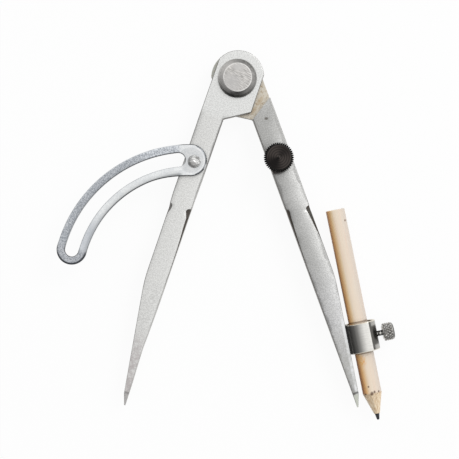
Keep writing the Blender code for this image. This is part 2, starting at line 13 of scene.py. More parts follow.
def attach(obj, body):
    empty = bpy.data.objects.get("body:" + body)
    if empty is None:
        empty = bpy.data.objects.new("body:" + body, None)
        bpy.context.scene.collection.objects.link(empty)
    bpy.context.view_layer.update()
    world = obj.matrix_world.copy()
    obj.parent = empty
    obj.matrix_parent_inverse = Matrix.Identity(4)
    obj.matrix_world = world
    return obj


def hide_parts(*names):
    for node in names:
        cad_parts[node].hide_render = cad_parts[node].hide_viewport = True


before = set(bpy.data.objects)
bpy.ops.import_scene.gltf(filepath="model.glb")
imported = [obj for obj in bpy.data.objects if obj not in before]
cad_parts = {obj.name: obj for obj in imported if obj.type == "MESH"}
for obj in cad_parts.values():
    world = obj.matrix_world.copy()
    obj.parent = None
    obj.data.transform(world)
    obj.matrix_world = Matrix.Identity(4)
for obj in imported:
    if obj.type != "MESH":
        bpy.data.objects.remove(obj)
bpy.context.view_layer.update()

# Camera
# The photograph was taken from straight above, half a metre over the front face. One pixel is
# 0.40 mm there, so the square picture takes in 183.6 mm.

METRE = 1000.0
VIEW_CENTRE = (-3.24, -60.68)
VIEW_HEIGHT = 509.5
FRONT_LEVEL = 9.5
VIEW_WIDTH = 183.6


def show(name, data):
    """Put a new object into the scene."""
    made = bpy.data.objects.new(name, data)
    bpy.context.scene.collection.objects.link(made)
    return made


camera_lens = bpy.data.cameras.new("camera")
camera_lens.lens = camera_lens.sensor_width * (VIEW_HEIGHT - FRONT_LEVEL) / VIEW_WIDTH
camera = show("camera", camera_lens)
camera.location = (VIEW_CENTRE[0] / METRE, VIEW_CENTRE[1] / METRE, VIEW_HEIGHT / METRE)
bpy.context.scene.camera = camera
bpy.context.scene.view_settings.view_transform = "Standard"

# Table and light
# A plain white table under a large soft box that hangs over the upper right, in a room that
# grows darker towards the lower left. The table keeps the compass's soft shadow.

TABLE_SIZE = 4.0
TABLE_LEVEL = -0.00002
TABLE_COLOUR = (0.93, 0.93, 0.93, 1.0)
TABLE_GLOW_SHARE = 0.93
WHITE = (1.0, 1.0, 1.0, 1.0)
ROOM_DIM = 0.08
ROOM_BRIGHT = 0.88
ROOM_LEAN = Vector((0.36, 0.40, 0.84))
ROOM_SPREAD = (-0.30, 0.80)
SOFT_BOX_PLACE = Vector((0.55, 0.50, 0.75))
SOFT_BOX_AIM = Vector((0.0, -0.06, 0.0))
SOFT_BOX_SIZE = 0.50
SOFT_BOX_POWER = 3.5


def plug(tree, socket, value):
    """Put a wire or a plain value on a socket."""
    if isinstance(value, Wire):
        tree.links.new(value.socket, socket)
    else:
        socket.default_value = value


class Wire:
    """A number, colour or vector on its way through a node tree; numbers can be reckoned with."""

    def __init__(self, tree, socket):
        self.tree = tree
        self.socket = socket

    def reckon(self, operation, *others):
        return Board(self.tree).node("ShaderNodeMath", {"operation": operation}, 0, self, *others)

    def __add__(self, other):
        return self.reckon("ADD", other)

    def __mul__(self, other):
        return self.reckon("MULTIPLY", other)

    def __sub__(self, other):
        return self.reckon("SUBTRACT", other)

    def __rsub__(self, other):
        return (self * -1.0) + other

    def __abs__(self):
        return self.reckon("ABSOLUTE")

    def bigger(self, other):
        return self.reckon("MAXIMUM", other)

    def between(self, low, high):
        """0 at the low value and 1 at the high one, with a soft start and stop."""
        return Board(self.tree).node("ShaderNodeMapRange", {"interpolation_type": "SMOOTHSTEP"}, 0,
                                     Value=self, From_Min=low, From_Max=high)

    def wave(self, crest, folds=1.0):
        """A wave of a bearing, which is 1 at its crest, in degrees."""
        return ((self - math.radians(crest)) * folds).reckon("COSINE")


class Board:
    """A node tree that is filled one node at a time."""

    def __init__(self, tree):
        self.tree = tree

    def node(self, kind, settings, output, *inputs, **named):
        """Any node: its settings first, then values or wires for its sockets."""
        node = self.tree.nodes.new(kind)
        for key, value in settings.items():
            setattr(node, key, value)
        for place, value in enumerate(inputs):
            plug(self.tree, node.inputs[place], value)
        for key, value in named.items():
            plug(self.tree, node.inputs[key.replace("_", " ")], value)
        return Wire(self.tree, node.outputs[output])


class Finish(Board):
    """One material: its shader's fixed values, and the pattern that is wired to it."""

    def __init__(self, name, **fixed):
        self.material = bpy.data.materials.new(name)
        self.material.use_nodes = True
        super().__init__(self.material.node_tree)
        self.shader = self.tree.nodes["Principled BSDF"]
        self.set(**fixed)

    def set(self, **wires):
        for socket, wire in wires.items():
            plug(self.tree, self.shader.inputs[socket.replace("_", " ")], wire)

    def spot(self, centre=(0, 0, 0), turn=(0, 0, 0), stretch=(1, 1, 1)):
        """Object coordinates in millimetres, seen from a place on the piece, then stretched."""
        here = self.node("ShaderNodeTexCoord", {}, "Object")
        moved = self.node("ShaderNodeVectorMath", {"operation": "MULTIPLY_ADD"}, 0,
                          here, (METRE,) * 3, tuple(-c for c in centre))
        turned = self.node("ShaderNodeVectorRotate", {"rotation_type": "EULER_XYZ"}, 0,
                           Vector=moved, Rotation=turn)
        return self.node("ShaderNodeVectorMath", {"operation": "MULTIPLY"}, 0, turned, stretch)

    def part(self, vector, axis):
        return self.node("ShaderNodeSeparateXYZ", {}, axis, vector)

    def away(self, centre, turn=(0, 0, 0), stretch=(1, 1, 0)):
        """The distance from a place, seen from above unless the stretch says otherwise."""
        return self.node("ShaderNodeVectorMath", {"operation": "LENGTH"}, "Value",
                         self.spot(centre, turn, stretch))

    def bearing(self, centre):
        """The direction from a place, seen from above, in radians."""
        here = self.spot((*centre, 0))
        return self.part(here, "Y").reckon("ARCTAN2", self.part(here, "X"))

    def facing(self):
        """How squarely the surface faces up or down: 1 on the flats and 0 on the sides."""
        return abs(self.part(self.node("ShaderNodeTexCoord", {}, "Normal"), "Z"))

    def mark(self, centre, size, turn=0.0, softness=0.65):
        """1 on one place of the piece, fading to 0 at the given half sizes."""
        away = self.away((*centre, 0), (0, 0, -turn), (1 / size[0], 1 / size[1], 0))
        return 1.0 - away.between(1.0 - softness, 1.0)

    def noise(self, vector, scale, detail=3.0, rough=0.55):
        return self.node("ShaderNodeTexNoise", {}, 0, Vector=vector, Scale=scale,
                         Detail=detail, Roughness=rough)

    def mix(self, share, first, second):
        """A blend of two colours."""
        ends = [end if isinstance(end, Wire) else (*end, 1.0) for end in (first, second)]
        node = self.tree.nodes.new("ShaderNodeMix")
        node.data_type = "RGBA"
        sockets = {s.identifier: s for s in node.inputs}
        for name, value in zip(("Factor_Float", "A_Color", "B_Color"), (share, *ends)):
            plug(self.tree, sockets[name], value)
        return Wire(self.tree, next(s for s in node.outputs if s.identifier == "Result_Color"))

    def coat(self, ground, *layers):
        """A colour under others that are laid on in turn, each as (share, colour)."""
        for share, colour in layers:
            ground = self.mix(share, ground, colour)
        return ground

    def ramp(self, value, *stops, tint=(1.0, 1.0, 1.0)):
        """Greys or colours read along a value, from stops of (place, colour)."""
        low, high = stops[0][0], stops[-1][0]
        node = self.tree.nodes.new("ShaderNodeValToRGB")
        for place, colour in stops[1:-1]:
            node.color_ramp.elements.new((place - low) / (high - low))
        for element, (place, colour) in zip(node.color_ramp.elements, stops):
            shade = colour if isinstance(colour, tuple) else [colour * t for t in tint]
            element.color = (*shade, 1)
        plug(self.tree, node.inputs[0], (value - low) * (1.0 / (high - low)))
        return Wire(self.tree, node.outputs[0])

    def relief(self, height, depth):
        """Bump from a height of 0 to 1, with its depth in millimetres."""
        self.set(Normal=self.node("ShaderNodeBump", {}, 0, Height=height,
                                  Distance=depth / METRE, Strength=1.0))


table_mesh = bpy.data.meshes.new("table")
table_mesh.from_pydata([(x * TABLE_SIZE, y * TABLE_SIZE, TABLE_LEVEL)
                        for x, y in ((-1, -1), (1, -1), (1, 1), (-1, 1))], [], [(0, 1, 2, 3)])
table = show("table", table_mesh)
table_white = Finish("table_white", Base_Color=TABLE_COLOUR, Roughness=0.9)
seen_by = table_white.node("ShaderNodeLightPath", {}, "Is Camera Ray")
for ray in ("Is Glossy Ray", "Is Transmission Ray"):
    seen_by = seen_by.bigger(table_white.node("ShaderNodeLightPath", {}, ray))
glow = table_white.node("ShaderNodeEmission", {}, 0, Color=WHITE, Strength=1.0)
plug(table_white.tree, table_white.tree.nodes["Material Output"].inputs["Surface"],
     table_white.node("ShaderNodeMixShader", {}, 0, seen_by * TABLE_GLOW_SHARE,
                      Wire(table_white.tree, table_white.shader.outputs[0]), glow))
table_mesh.materials.append(table_white.material)

room = bpy.data.worlds.new("room")
room.use_nodes = True
bpy.context.scene.world = room
air = Board(room.node_tree)
direction = air.node("ShaderNodeTexCoord", {}, "Generated")
lean = air.node("ShaderNodeVectorMath", {"operation": "DOT_PRODUCT"}, "Value",
                direction, tuple(ROOM_LEAN.normalized()))
sky = room.node_tree.nodes["Background"].inputs
plug(room.node_tree, sky["Strength"], lean.between(*ROOM_SPREAD) * (ROOM_BRIGHT - ROOM_DIM) + ROOM_DIM)
plug(room.node_tree, sky["Color"], WHITE)

lamp = bpy.data.lights.new("soft_box", "AREA")
lamp.size = SOFT_BOX_SIZE
lamp.energy = SOFT_BOX_POWER
soft_box = show("soft_box", lamp)
soft_box.location = SOFT_BOX_PLACE
soft_box.rotation_euler = (SOFT_BOX_AIM - SOFT_BOX_PLACE).to_track_quat("-Z", "Y").to_euler()

# Legs
# Two like forgings of carbon steel, the right one turned over. Each is halved at the head,
# where the two lap, ground bright on its faces, tapered to a point, and filed with four stop
# chamfers. The dark of the chamfers and sides is the scale of the forge and partly painted
# shade, and the faces carry painted shade across them and along their edges.

LEG_REACH = {"left_leg": 139.1, "right_leg": 140.9}
LEG_WIDTH = 9.6
LEG_INNER = 0.12
LEG_HALF = 4.0
LEG_MIDDLE = 5.5
LEG_TURNS = {"left_leg": math.radians(-19.0), "right_leg": math.radians(20.0)}
HEAD_RADII = (10.55, 11.1)
HEAD_SIDE = 9.4
HEAD_STEPS = 56
LUG_REACH = 9.6
LUG_CORNER = 0.6
LUG_ROOT = 1.2
SHOULDER_AWAY = 15.0
SHOULDER_TURN = math.radians(32.3)
STOP_GAP = 0.3
LAP_LEVEL = 0.02
PIVOT_HOLE = 4.1
BLADE_TOP = 20.0
FILED_FROM = 54.5
FILED_TO = 58.0
HIP_RADIUS = 60.0
# The blade's two sides as (along, out); the files that cut the stops also took a little off.
INNER_SIDE = {
    "left_leg": [(BLADE_TOP, LEG_INNER), (46, 0.15), (50, 0.30), (98, 0.32), (108, 0.50),
                 (115, 0.70), (122, 0.50), (130, 0.15), (139.1, -0.04)],
    "right_leg": [(BLADE_TOP, LEG_INNER), (90, 0.15), (136, 0.15), (140.9, 0.08)]}
OUTER_SIDE = {"left_leg": [(BLADE_TOP, LEG_WIDTH), (FILED_FROM, 9.5), (FILED_TO, 9.12)],
              "right_leg": [(BLADE_TOP, LEG_WIDTH), (FILED_FROM, 9.6), (FILED_TO, 9.5)]}
HIP = {"left_leg": (88.4, 9.05), "right_leg": (88.6, 9.45)}
GRIND = {"left_leg": (134.3, 2.0), "right_leg": (135.5, 2.45)}
GRIND_HALF = 2.0
TIP_WIDTH = 0.5
TIP_HALF = 0.25
TAPER_SLOPE = 0.148
LEG_EDGE = 0.32
EDGE_FADE = 1.6
CORNER_STEPS = 4
FACE_STEPS = 4
FACE_CROWN = 0.05
CROWN_RUN = 10.0
CHAMFER_TOP = {"front_inner": 55.8, "front_outer": 55.8, "back_outer": 57.6, "back_inner": 56.2}
CHAMFER_RUN = 1.5
CHAMFER_KNEE = 3.9
CHAMFER_SLOPE = math.tan(math.radians(52.0))
# Runs of the blade's sections above the taper, as (start, end, steps).
SECTION_RUNS = ((BLADE_TOP, 52.0, 8), (55.8, 59.76, 33), (59.9, 88.7, 36))
# Each chamfer's width, its length, and its share of the width at the knee.
CHAMFERS = {"front_inner": (1.80, 28.0, 0.50), "front_outer": (1.15, 9.0, 0.45),
            "back_outer": (1.75, 17.0, 0.75), "back_inner": (1.10, 26.0, 0.75)}


def spaced(start, end, steps):
    """Evenly spaced values, with both ends."""
    return [start + (end - start) * i / steps for i in range(steps + 1)]


def arc(centre, radius, start, end, steps):
    """Points along an arc, with both ends."""
    return [(centre[0] + radius * math.cos(t), centre[1] + radius * math.sin(t))
            for t in spaced(start, end, steps)]


def fillet(before, corner, after, radius, steps):
    """The arc that rounds one corner of an outline."""
    corner = Vector(corner)
    back = (Vector(before) - corner).normalized()
    ahead = (Vector(after) - corner).normalized()
    half = back.angle(ahead) / 2
    centre = corner + (back + ahead).normalized() * radius / math.sin(half)
    first = corner + back * radius / math.tan(half) - centre
    last = corner + ahead * radius / math.tan(half) - centre
    start = math.atan2(first.y, first.x)
    sweep = (math.atan2(last.y, last.x) - start + math.pi) % math.tau - math.pi
    return arc(centre, radius, start, start + sweep, steps)


def softened(points, radii, steps=4):
    """An open profile with its inner corners rounded by the given radii."""
    line = [points[0]]
    for before, corner, after, radius in zip(points, points[1:], points[2:], radii):
        line += fillet(before, corner, after, radius, steps) if radius else [corner]
    return line + [points[-1]]


def offset(path, distance, closed=False):
    """A path moved to its left by a distance."""
    moved = []
    last = len(path) - 1
    for i, here in enumerate(path):
        before = path[i - 1] if i or closed else None
        after = path[(i + 1) % len(path)] if i < last or closed else None
        sides = []
        for start, end in ((before, here), (here, after)):
            if start is not None and end is not None:
                way = (Vector(end) - Vector(start)).normalized()
                sides.append(Vector((-way.y, way.x)))
        side = sum(sides, Vector((0, 0))).normalized()
        moved.append(tuple(Vector(here) + side * distance / max(side.dot(sides[0]), 0.5)))
    return moved


def circle(radius, level, steps):
    """Points round an upright axis."""
    return [(x, y, level) for x, y in arc((0, 0), radius, 0, math.tau, steps)[:-1]]


def skin(shape, rows, first=0):
    """Faces between neighbouring rows of equally many corners, which are rings, or open when
    the first face is 1. The corners of a ring on its axis are all the same one."""
    for near, far in zip(rows, rows[1:]):
        for i in range(first, len(near)):
            shape.faces.new(dict.fromkeys((near[i - 1], near[i], far[i], far[i - 1])))


def loft(rings):
    """A closed skin over rings of equally many points, with flat ends."""
    shape = bmesh.new()
    rows = [[shape.verts.new(point) for point in ring] for ring in rings]
    skin(shape, rows)
    shape.faces.new(rows[0])
    shape.faces.new(rows[-1])
    bmesh.ops.recalc_face_normals(shape, faces=shape.faces)
    return shape


def solid(name, shape, finish, place=None):
    """Make an object of a shape in millimetres, with its place in its mesh."""
    mesh = bpy.data.meshes.new(name)
    shape.to_mesh(mesh)
    shape.free()
    mesh.transform(Matrix.Scale(1 / METRE, 4) @ (place or Matrix()))
    mesh.materials.append(finish.material)
    return show(name, mesh)


def settle(made):
    """Turn what the modifiers make into the object's own mesh."""
    graph = bpy.context.evaluated_depsgraph_get()
    graph.update()
    mesh = bpy.data.meshes.new_from_object(made.evaluated_get(graph), depsgraph=graph)
    made.modifiers.clear()
    made.data = mesh


def cut(target, *cutters):
    """Take shapes away from a piece."""
    for cutter in cutters:
        tool = target.modifiers.new("cut", "BOOLEAN")
        tool.operation = "DIFFERENCE"
        tool.object = cutter
    settle(target)
    for cutter in cutters:
        bpy.data.objects.remove(cutter, do_unlink=True)


def polish(made, crease=32.0):
    """Smooth shading that keeps flats flat and corners crisp."""
    made.data.shade_smooth()
    made.data.set_sharp_from_angle(angle=math.radians(crease))
    made.modifiers.new("flats", "WEIGHTED_NORMAL").keep_sharp = True
    settle(made)
    return made


def fit(made, body, node):
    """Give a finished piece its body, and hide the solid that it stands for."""
    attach(made, body)
    if node:
        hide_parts(node)


def outer_side(name):
    """The blade's outer side as (along, out), rounded at the hip and ground to the point."""
    hip = fillet(OUTER_SIDE[name][-1], HIP[name], GRIND[name], HIP_RADIUS, 12)
    point = (LEG_REACH[name], INNER_SIDE[name][-1][1] + TIP_WIDTH)
    return [*OUTER_SIDE[name], *hip, GRIND[name], point]


def reading(table_of, at):
    """Straight-line reading between the points of a table."""
    for (a, low), (b, high) in zip(table_of, table_of[1:]):
        if at <= b:
            return low + (high - low) * (at - a) / (b - a)
    return table_of[-1][1]


def chamfer_width(edge, along):
    """A round start, a quick narrowing to the knee, and a slow one to nothing."""
    width, length, knee_share = CHAMFERS[edge]
    way = along - CHAMFER_TOP[edge]
    if way <= 0 or way >= length:
        return 0.0
    if way < CHAMFER_RUN:
        return width * math.sqrt(1 - (1 - way / CHAMFER_RUN) ** 2)
    return width * reading([(CHAMFER_RUN, 1), (CHAMFER_KNEE, knee_share), (length, 0)], way)


def rounded_edge(edge, steps):
    """A quarter round from a side to a face, as (inward, down)."""
    return [(edge * (1 - math.cos(t)), edge * (1 - math.sin(t)))
            for t in spaced(0, math.pi / 2, steps)]


def leg_corner(width, edge):
    """One corner of the blade from its side to its face, as (inward, down)."""
    depth = width * CHAMFER_SLOPE
    filed = [(0, depth + edge / 3), (width * 0.06, depth * 0.94), (width / 2, depth / 2),
             (width * 0.94, depth * 0.06), (width + edge / 3, 0)]
    share = min(1.0, width / (2 * edge))
    return [tuple(Vector(a).lerp(Vector(b), share))
            for a, b in zip(rounded_edge(edge, CORNER_STEPS), filed)]


def blade_section(name, along):
    """The blade cut across, from the front inner corner round over the face and the back."""
    hip = HIP[name][0]
    shares = [(hip, 1.0), (GRIND[name][0], GRIND_HALF / LEG_HALF),
              (LEG_REACH[name], TIP_HALF / LEG_HALF)]
    share = 1.0 if along <= hip else reading(shares, along)
    half = LEG_HALF * share
    outer = reading(outer_side(name), along)
    inner = reading(INNER_SIDE[name], along)
    edge = LEG_EDGE * min(share, (outer - inner) / LEG_WIDTH * EDGE_FADE)
    crown = FACE_CROWN * min(1.0, (along - BLADE_TOP) / CROWN_RUN) * share
    section = []
    for face, names in ((1, ("front_inner", "front_outer")), (-1, ("back_outer", "back_inner"))):
        sides = []
        for corner in names:
            inside = corner.endswith("inner")
            sides.append([(inner + inward if inside else outer - inward, face * (half - down))
                          for inward, down in leg_corner(chamfer_width(corner, along) * share, edge)])
        start, end = sides[0][-1], sides[1][-1]
        flat = [(start[0] + (end[0] - start[0]) * t, face * (half + crown * (1 - (2 * t - 1) ** 2)))
                for t in spaced(0, 1, FACE_STEPS)[1:-1]]
        section += sides[0] + flat + sides[1][::-1]
    return [(-out, -along, level) for out, level in section]


def shoulder_at(out, gap=0.0):
    """How far along the leg its slanting shoulder lies, at a distance out."""
    return (SHOULDER_AWAY - gap + out * math.sin(SHOULDER_TURN)) / math.cos(SHOULDER_TURN)


def head_path():
    """The head from the blade's outer side over the round, the lug and its root."""
    across, up = HEAD_RADII
    start = math.pi - math.asin(HEAD_SIDE / across)
    end = math.pi + math.asin(LUG_REACH / across)
    lug = (shoulder_at(-LUG_REACH, STOP_GAP), -LUG_REACH)
    root = (shoulder_at(LEG_INNER, STOP_GAP), LEG_INNER)
    path = [(BLADE_TOP, LEG_WIDTH)]
    path += [(up * math.cos(t), across * math.sin(t)) for t in spaced(start, end, HEAD_STEPS)]
    path += fillet(path[-1], lug, root, LUG_CORNER, 5)
    path += fillet(lug, root, (BLADE_TOP, LEG_INNER), LUG_ROOT, 6)
    path.append((BLADE_TOP, LEG_INNER))
    return [(-out, -along) for along, out in path]


def stations(name):
    """Where the blade's sections stand: closer at the chamfers' starts and at the point."""
    ground = GRIND[name][0]
    runs = (*SECTION_RUNS, (SECTION_RUNS[-1][1] + 1.3, ground - 1.0, 28),
            (ground - 0.25, ground + 0.25, 2))
    line = [at for run in runs for at in spaced(*run)]
    return sorted(line + spaced(ground, LEG_REACH[name], 4)[1:])


def leg_shape(name):
    """Blade and head as one skin; their rings share their points where they meet."""
    shape = bmesh.new()
    sections = [[shape.verts.new(p) for p in blade_section(name, a)] for a in stations(name)]
    skin(shape, sections)
    shape.faces.new(sections[-1])
    size = CORNER_STEPS + 1
    span = size + FACE_STEPS - 1
    front, back = sections[0][:span + size], sections[0][span + size:]
    front_inner, front_flat, front_outer = front[:size], front[size:span], front[span:][::-1]
    back_outer, back_flat, back_inner = back[:size], back[size:span], back[span:][::-1]
    levels = [(inward, down - LEG_HALF) for inward, down in leg_corner(0, LEG_EDGE)[::-1]]
    levels += [(inward, LEG_HALF - down) for inward, down in leg_corner(0, LEG_EDGE)]
    path = head_path()
    rows = []
    for place, (inward, level) in enumerate(levels):
        low = place < size
        ends = ((back_outer if low else front_outer), (back_inner if low else front_inner))
        spot = size - 1 - place if low else place - size
        middle = [shape.verts.new((x, y, level)) for x, y in offset(path, -inward)[1:-1]]
        rows.append([ends[0][spot], *middle, ends[1][spot]])
    skin(shape, rows, 1)
    shape.faces.new(rows[-1] + front_flat)
    shape.faces.new(rows[0] + back_flat[::-1])
    bmesh.ops.recalc_face_normals(shape, faces=shape.faces)
    return shape


def lap():
    """What is cut from the head, from its top to the slanting shoulder."""
    beyond = 3.0
    sides = (LEG_WIDTH + beyond, -LUG_REACH - beyond)
    outline = [(-out, -shoulder_at(-out)) for out in sides]
    outline += [(-out, HEAD_RADII[1] + beyond) for out in sides[::-1]]
    return loft([[(x, y, level) for x, y in outline] for level in (-LEG_HALF - beyond, LAP_LEVEL)])


LEG_SIDE_AND_SHADE = (0.27, 0.26, 0.245)
PAINTED_LIT_SIDE = (0.55, 0.54, 0.52)
LEG_SCALE = (0.10, 0.085, 0.072)
LEG_LAP = (0.68, 0.63, 0.54)
LEG_LAP_OLD = (0.50, 0.51, 0.47)
LEG_LAP_STAIN = (0.44, 0.31, 0.16)
LAP_STAINS = (((9.0, -8.9), (1.3, 3.0)), ((6.6, -12.6), (1.2, 2.6)))
LEG_RUST = (0.36, 0.25, 0.13)
LEG_BLACK = (0.05, 0.045, 0.04)
LEG_HEAD = (0.96, 0.965, 0.95)
LEG_NECK = (0.53, 0.53, 0.515)
TAPER_HIGHLIGHT = (0.93, 0.94, 0.95)
NECK_PIT = (11.484, -16.3)
KNOB_SHADOW_PLACE = (15.5, -33.3)
KNOB_SHADOW = (0.035, 0.025, 0.021)
# The greys of the faces, from the inner side to the outer one, above and towards the point. They are
# partly painted shade: darker towards the inner side on the right leg, with painted dark lines along the
# edges.
LEG_GREYS_AND_SHADE = {
    "left_leg": ((0.3, 0.44), (0.9, 0.96), (2.2, 0.93), (7.6, 0.90), (8.7, 0.79), (9.3, 0.54)),
    "right_leg": ((0.4, 0.32), (1.4, 0.50), (4.0, 0.62), (6.0, 0.76), (8.3, 0.97), (8.8, 0.66))}
LOW_GREYS_AND_SHADE = {
    "left_leg": ((0.3, 0.64), (0.9, 0.95), (3.0, 0.91), (5.0, 0.92), (8.0, 0.90), (9.0, 0.7)),
    "right_leg": ((0.3, 0.38), (1.0, 0.68), (3.0, 0.76), (5.0, 0.84), (8.0, 0.94), (9.0, 0.8))}
LEG_TINT = (1.0, 1.0, 0.98)
LOW_TINT = {"left_leg": (1.0, 1.0, 0.98), "right_leg": (1.0, 1.0, 1.0)}
LOW_MOTTLE = {"left_leg": (0.50, 0.45, 0.45), "right_leg": (0.50, 0.50, 0.47)}
LOW_SHARE = {"left_leg": 0.2, "right_leg": 0.1}
CLOUD_SHIFT = {"left_leg": 0.25, "right_leg": 1.1}
GRAIN_SHARE = {"left_leg": 0.22, "right_leg": 0.26}
FILED = {"left_leg": (0.27, 0.26, 0.25), "right_leg": (0.095, 0.09, 0.078)}
TIP_FACET = {"left_leg": (1.0, 0.97, 0.95), "right_leg": (0.92, 0.95, 0.85)}
TIP_SHADE_LINE = {"left_leg": 0.45, "right_leg": 0.70}


def leg_finish(name, turn):
    """Bright ground flats with fine marks across the leg, and painted shade; dark forged sides and
    chamfers that are partly painted shade.
    """
    left = name == "left_leg"
    finish = Finish(name + "_steel", Metallic=1.0)
    place = finish.spot(turn=(0, 0, -turn))
    down = finish.part(place, "Y") * -1.0
    out = finish.part(place, "X") * (-1.0 if left else 1.0)
    upright = finish.facing()
    flat = upright.between(0.80, 0.985)
    cloud = finish.noise(place, 0.18, 4.0).between(0.35, 0.68)
    marks = finish.noise(finish.spot(turn=(0, 0, -turn), stretch=(0.45, 9.0, 1.0)), 1.0, 3.0)
    grain = finish.noise(place, 2.1, 2.0, 0.6).between(0.36, 0.64)
    pits = finish.noise(place, 1.9, 5.0, 0.6).between(0.68, 0.76)
    mottle = finish.noise(place, 0.6, 4.0, 0.65).between(0.36, 0.62)
    rust = finish.noise(place, 0.9, 5.0, 0.7).between(0.50, 0.66)

    shift = out + (cloud - 0.5) * CLOUD_SHIFT[name]
    # Painted shade across the faces, from the greys above.
    face = finish.mix(down.between(72.0, 108.0),
                      finish.ramp(shift, *LEG_GREYS_AND_SHADE[name], tint=LEG_TINT),
                      finish.ramp(shift, *LOW_GREYS_AND_SHADE[name], tint=LOW_TINT[name]))
    grime = ((1.0 - grain) * GRAIN_SHARE[name] + (1.0 - marks) * 0.08, LEG_BLACK)
    if left:
        face = finish.coat(face, (down.between(19.0, 15.0), LEG_HEAD),
                           (down.between(44.0, 28.0) * 0.06, LEG_BLACK), grime)
    else:
        front = finish.part(finish.spot(), "Z").between(7.0, 9.0)
        # Painted highlight along the tapered outer side towards the point.
        from_side = HIP[name][1] - (down - HIP[name][0]) * TAPER_SLOPE - out
        # Painted shadow of the knob, cast on the right leg's face at the knob's lower left.
        knob_shadow = finish.mark(KNOB_SHADOW_PLACE, (5.9, 5.9), softness=0.2)
        face = finish.coat(face, (down.between(36.0, 22.0) * (0.9 - cloud * 0.3), LEG_NECK), grime,
                           (from_side.between(1.5, 1.1) * down.between(102, 108), TAPER_HIGHLIGHT),
                           (finish.mark(NECK_PIT, (1.1, 0.8)) * front * 0.75, LEG_SCALE),
                           (knob_shadow * front * 0.85, KNOB_SHADOW))
    ground = GRIND[name][0]
    low = down.between(104.0, 122.0)
    face = finish.coat(face, (pits * 0.4, LEG_RUST),
                       (low * (mottle * 0.5 + LOW_SHARE[name]), LOW_MOTTLE[name]),
                       # A painted dark line of shade where the point's grind begins.
                       (abs(down - (ground - 0.5)).between(0.6, 0.2) * TIP_SHADE_LINE[name], LEG_BLACK),
                       (down.between(ground - 0.1, ground + 0.5), TIP_FACET[name]))

    level = abs(finish.part(finish.spot((0, 0, LEG_MIDDLE)), "Z"))
    old = finish.part(finish.spot(), "X").between(-3.0, -7.0)
    stains = [(finish.mark(middle, size, -0.6) * 0.45, LEG_LAP_STAIN) for middle, size in LAP_STAINS]
    lap_face = finish.coat(LEG_LAP, (old, LEG_LAP_OLD), (rust * 0.75, LEG_RUST), *stains)
    face = finish.coat(face, (level.between(0.4, 0.2), lap_face))

    # The chamfers' forge scale and the sides' dark grey are partly painted shade, darkest on the right
    # leg's chamfers; the sides also draw the shadow lines under the lug.
    filed = upright.between(0.12, 0.35) * down.between(FILED_FROM, FILED_FROM + 1.0)
    filed = filed * (1.0 - down.between(80, 92))
    scale = finish.mix(out.between(4.0, 5.0), LEG_SCALE, FILED[name])
    # Painted light on the left leg's inner side, which faces the light.
    painted_lighting = ((down.between(36.0, 46.0) * out.between(3.0, 1.0), PAINTED_LIT_SIDE),) if left else ()
    side = finish.coat(LEG_SIDE_AND_SHADE, *painted_lighting, (filed * 0.92 + rust * 0.08, scale))
    finish.set(Base_Color=finish.mix(flat, side, face),
               Roughness=(1.0 - flat) * 0.22 + marks * 0.10 + 0.33)
    finish.relief(marks * 0.6 + cloud * 0.2 + grain * 0.2, 0.014)
    return finish


for name, turn in LEG_TURNS.items():
    place = Matrix.Translation((0, 0, LEG_MIDDLE)) @ Matrix.Rotation(turn, 4, "Z")
    if name == "right_leg":
        place = place @ Matrix.Rotation(math.pi, 4, "Y")
    steel = leg_finish(name, turn)
    leg = solid(name + "_forged", leg_shape(name), steel, place)
    bore = loft([circle(PIVOT_HOLE, level, 64) for level in (-2 * LEG_HALF, 2 * LEG_HALF)])
    cut(leg, solid("head_cut", lap(), steel, place), solid("pivot_hole", bore, steel, place))
    fit(polish(leg), name, name)

# Pivot rivet
# A turned steel rivet through both laps, with a domed ring round a flat ground face. It is
# headed over a thin washer at the back.

RIVET_PROFILE = [(0, 0), (4.8, 0), (4.0, 1.2), (4.0, 9.52), (7.75, 9.52), (7.75, 10.3),
                 (7.15, 11.35), (5.85, 11.95), (5.70, 12.0), (0, 12.0)]
RIVET_RADII = (0.2, 0, 0, 0.15, 0.35, 0.8, 0, 0)
RIVET_FACE = 5.75
RIVET_RING = 5.55
RIVET_SLANT = Vector((-0.10, -0.22))
SLANTED_FROM = (9.0, 6.5)
WASHER_PROFILE = [(4.3, 0.7), (4.3, 0.15), (5.1, 0), (6.9, 0), (7.2, 0.3), (7.2, 1.48), (4.3, 1.48),
                  (4.3, 0.7)]
WASHER_RADII = (0, 0, 0.1, 0.1, 0.15, 0)
SIDE_PAINTED_LIGHT = (1.0, 0.98, 0.95)
RING_PAINTED_HIGHLIGHT = (1.0, 0.99, 0.97)


def turned(profile, steps=96):
    """A turned piece from its profile of (radius, level)."""
    shape = bmesh.new()
    rows = []
    for radius, level in profile:
        if radius:
            rows.append([shape.verts.new(point) for point in circle(radius, level, steps)])
        else:
            rows.append([shape.verts.new((0, 0, level))] * steps)
    skin(shape, rows)
    bmesh.ops.remove_doubles(shape, verts=shape.verts, dist=1e-6)
    bmesh.ops.recalc_face_normals(shape, faces=shape.faces)
    return shape


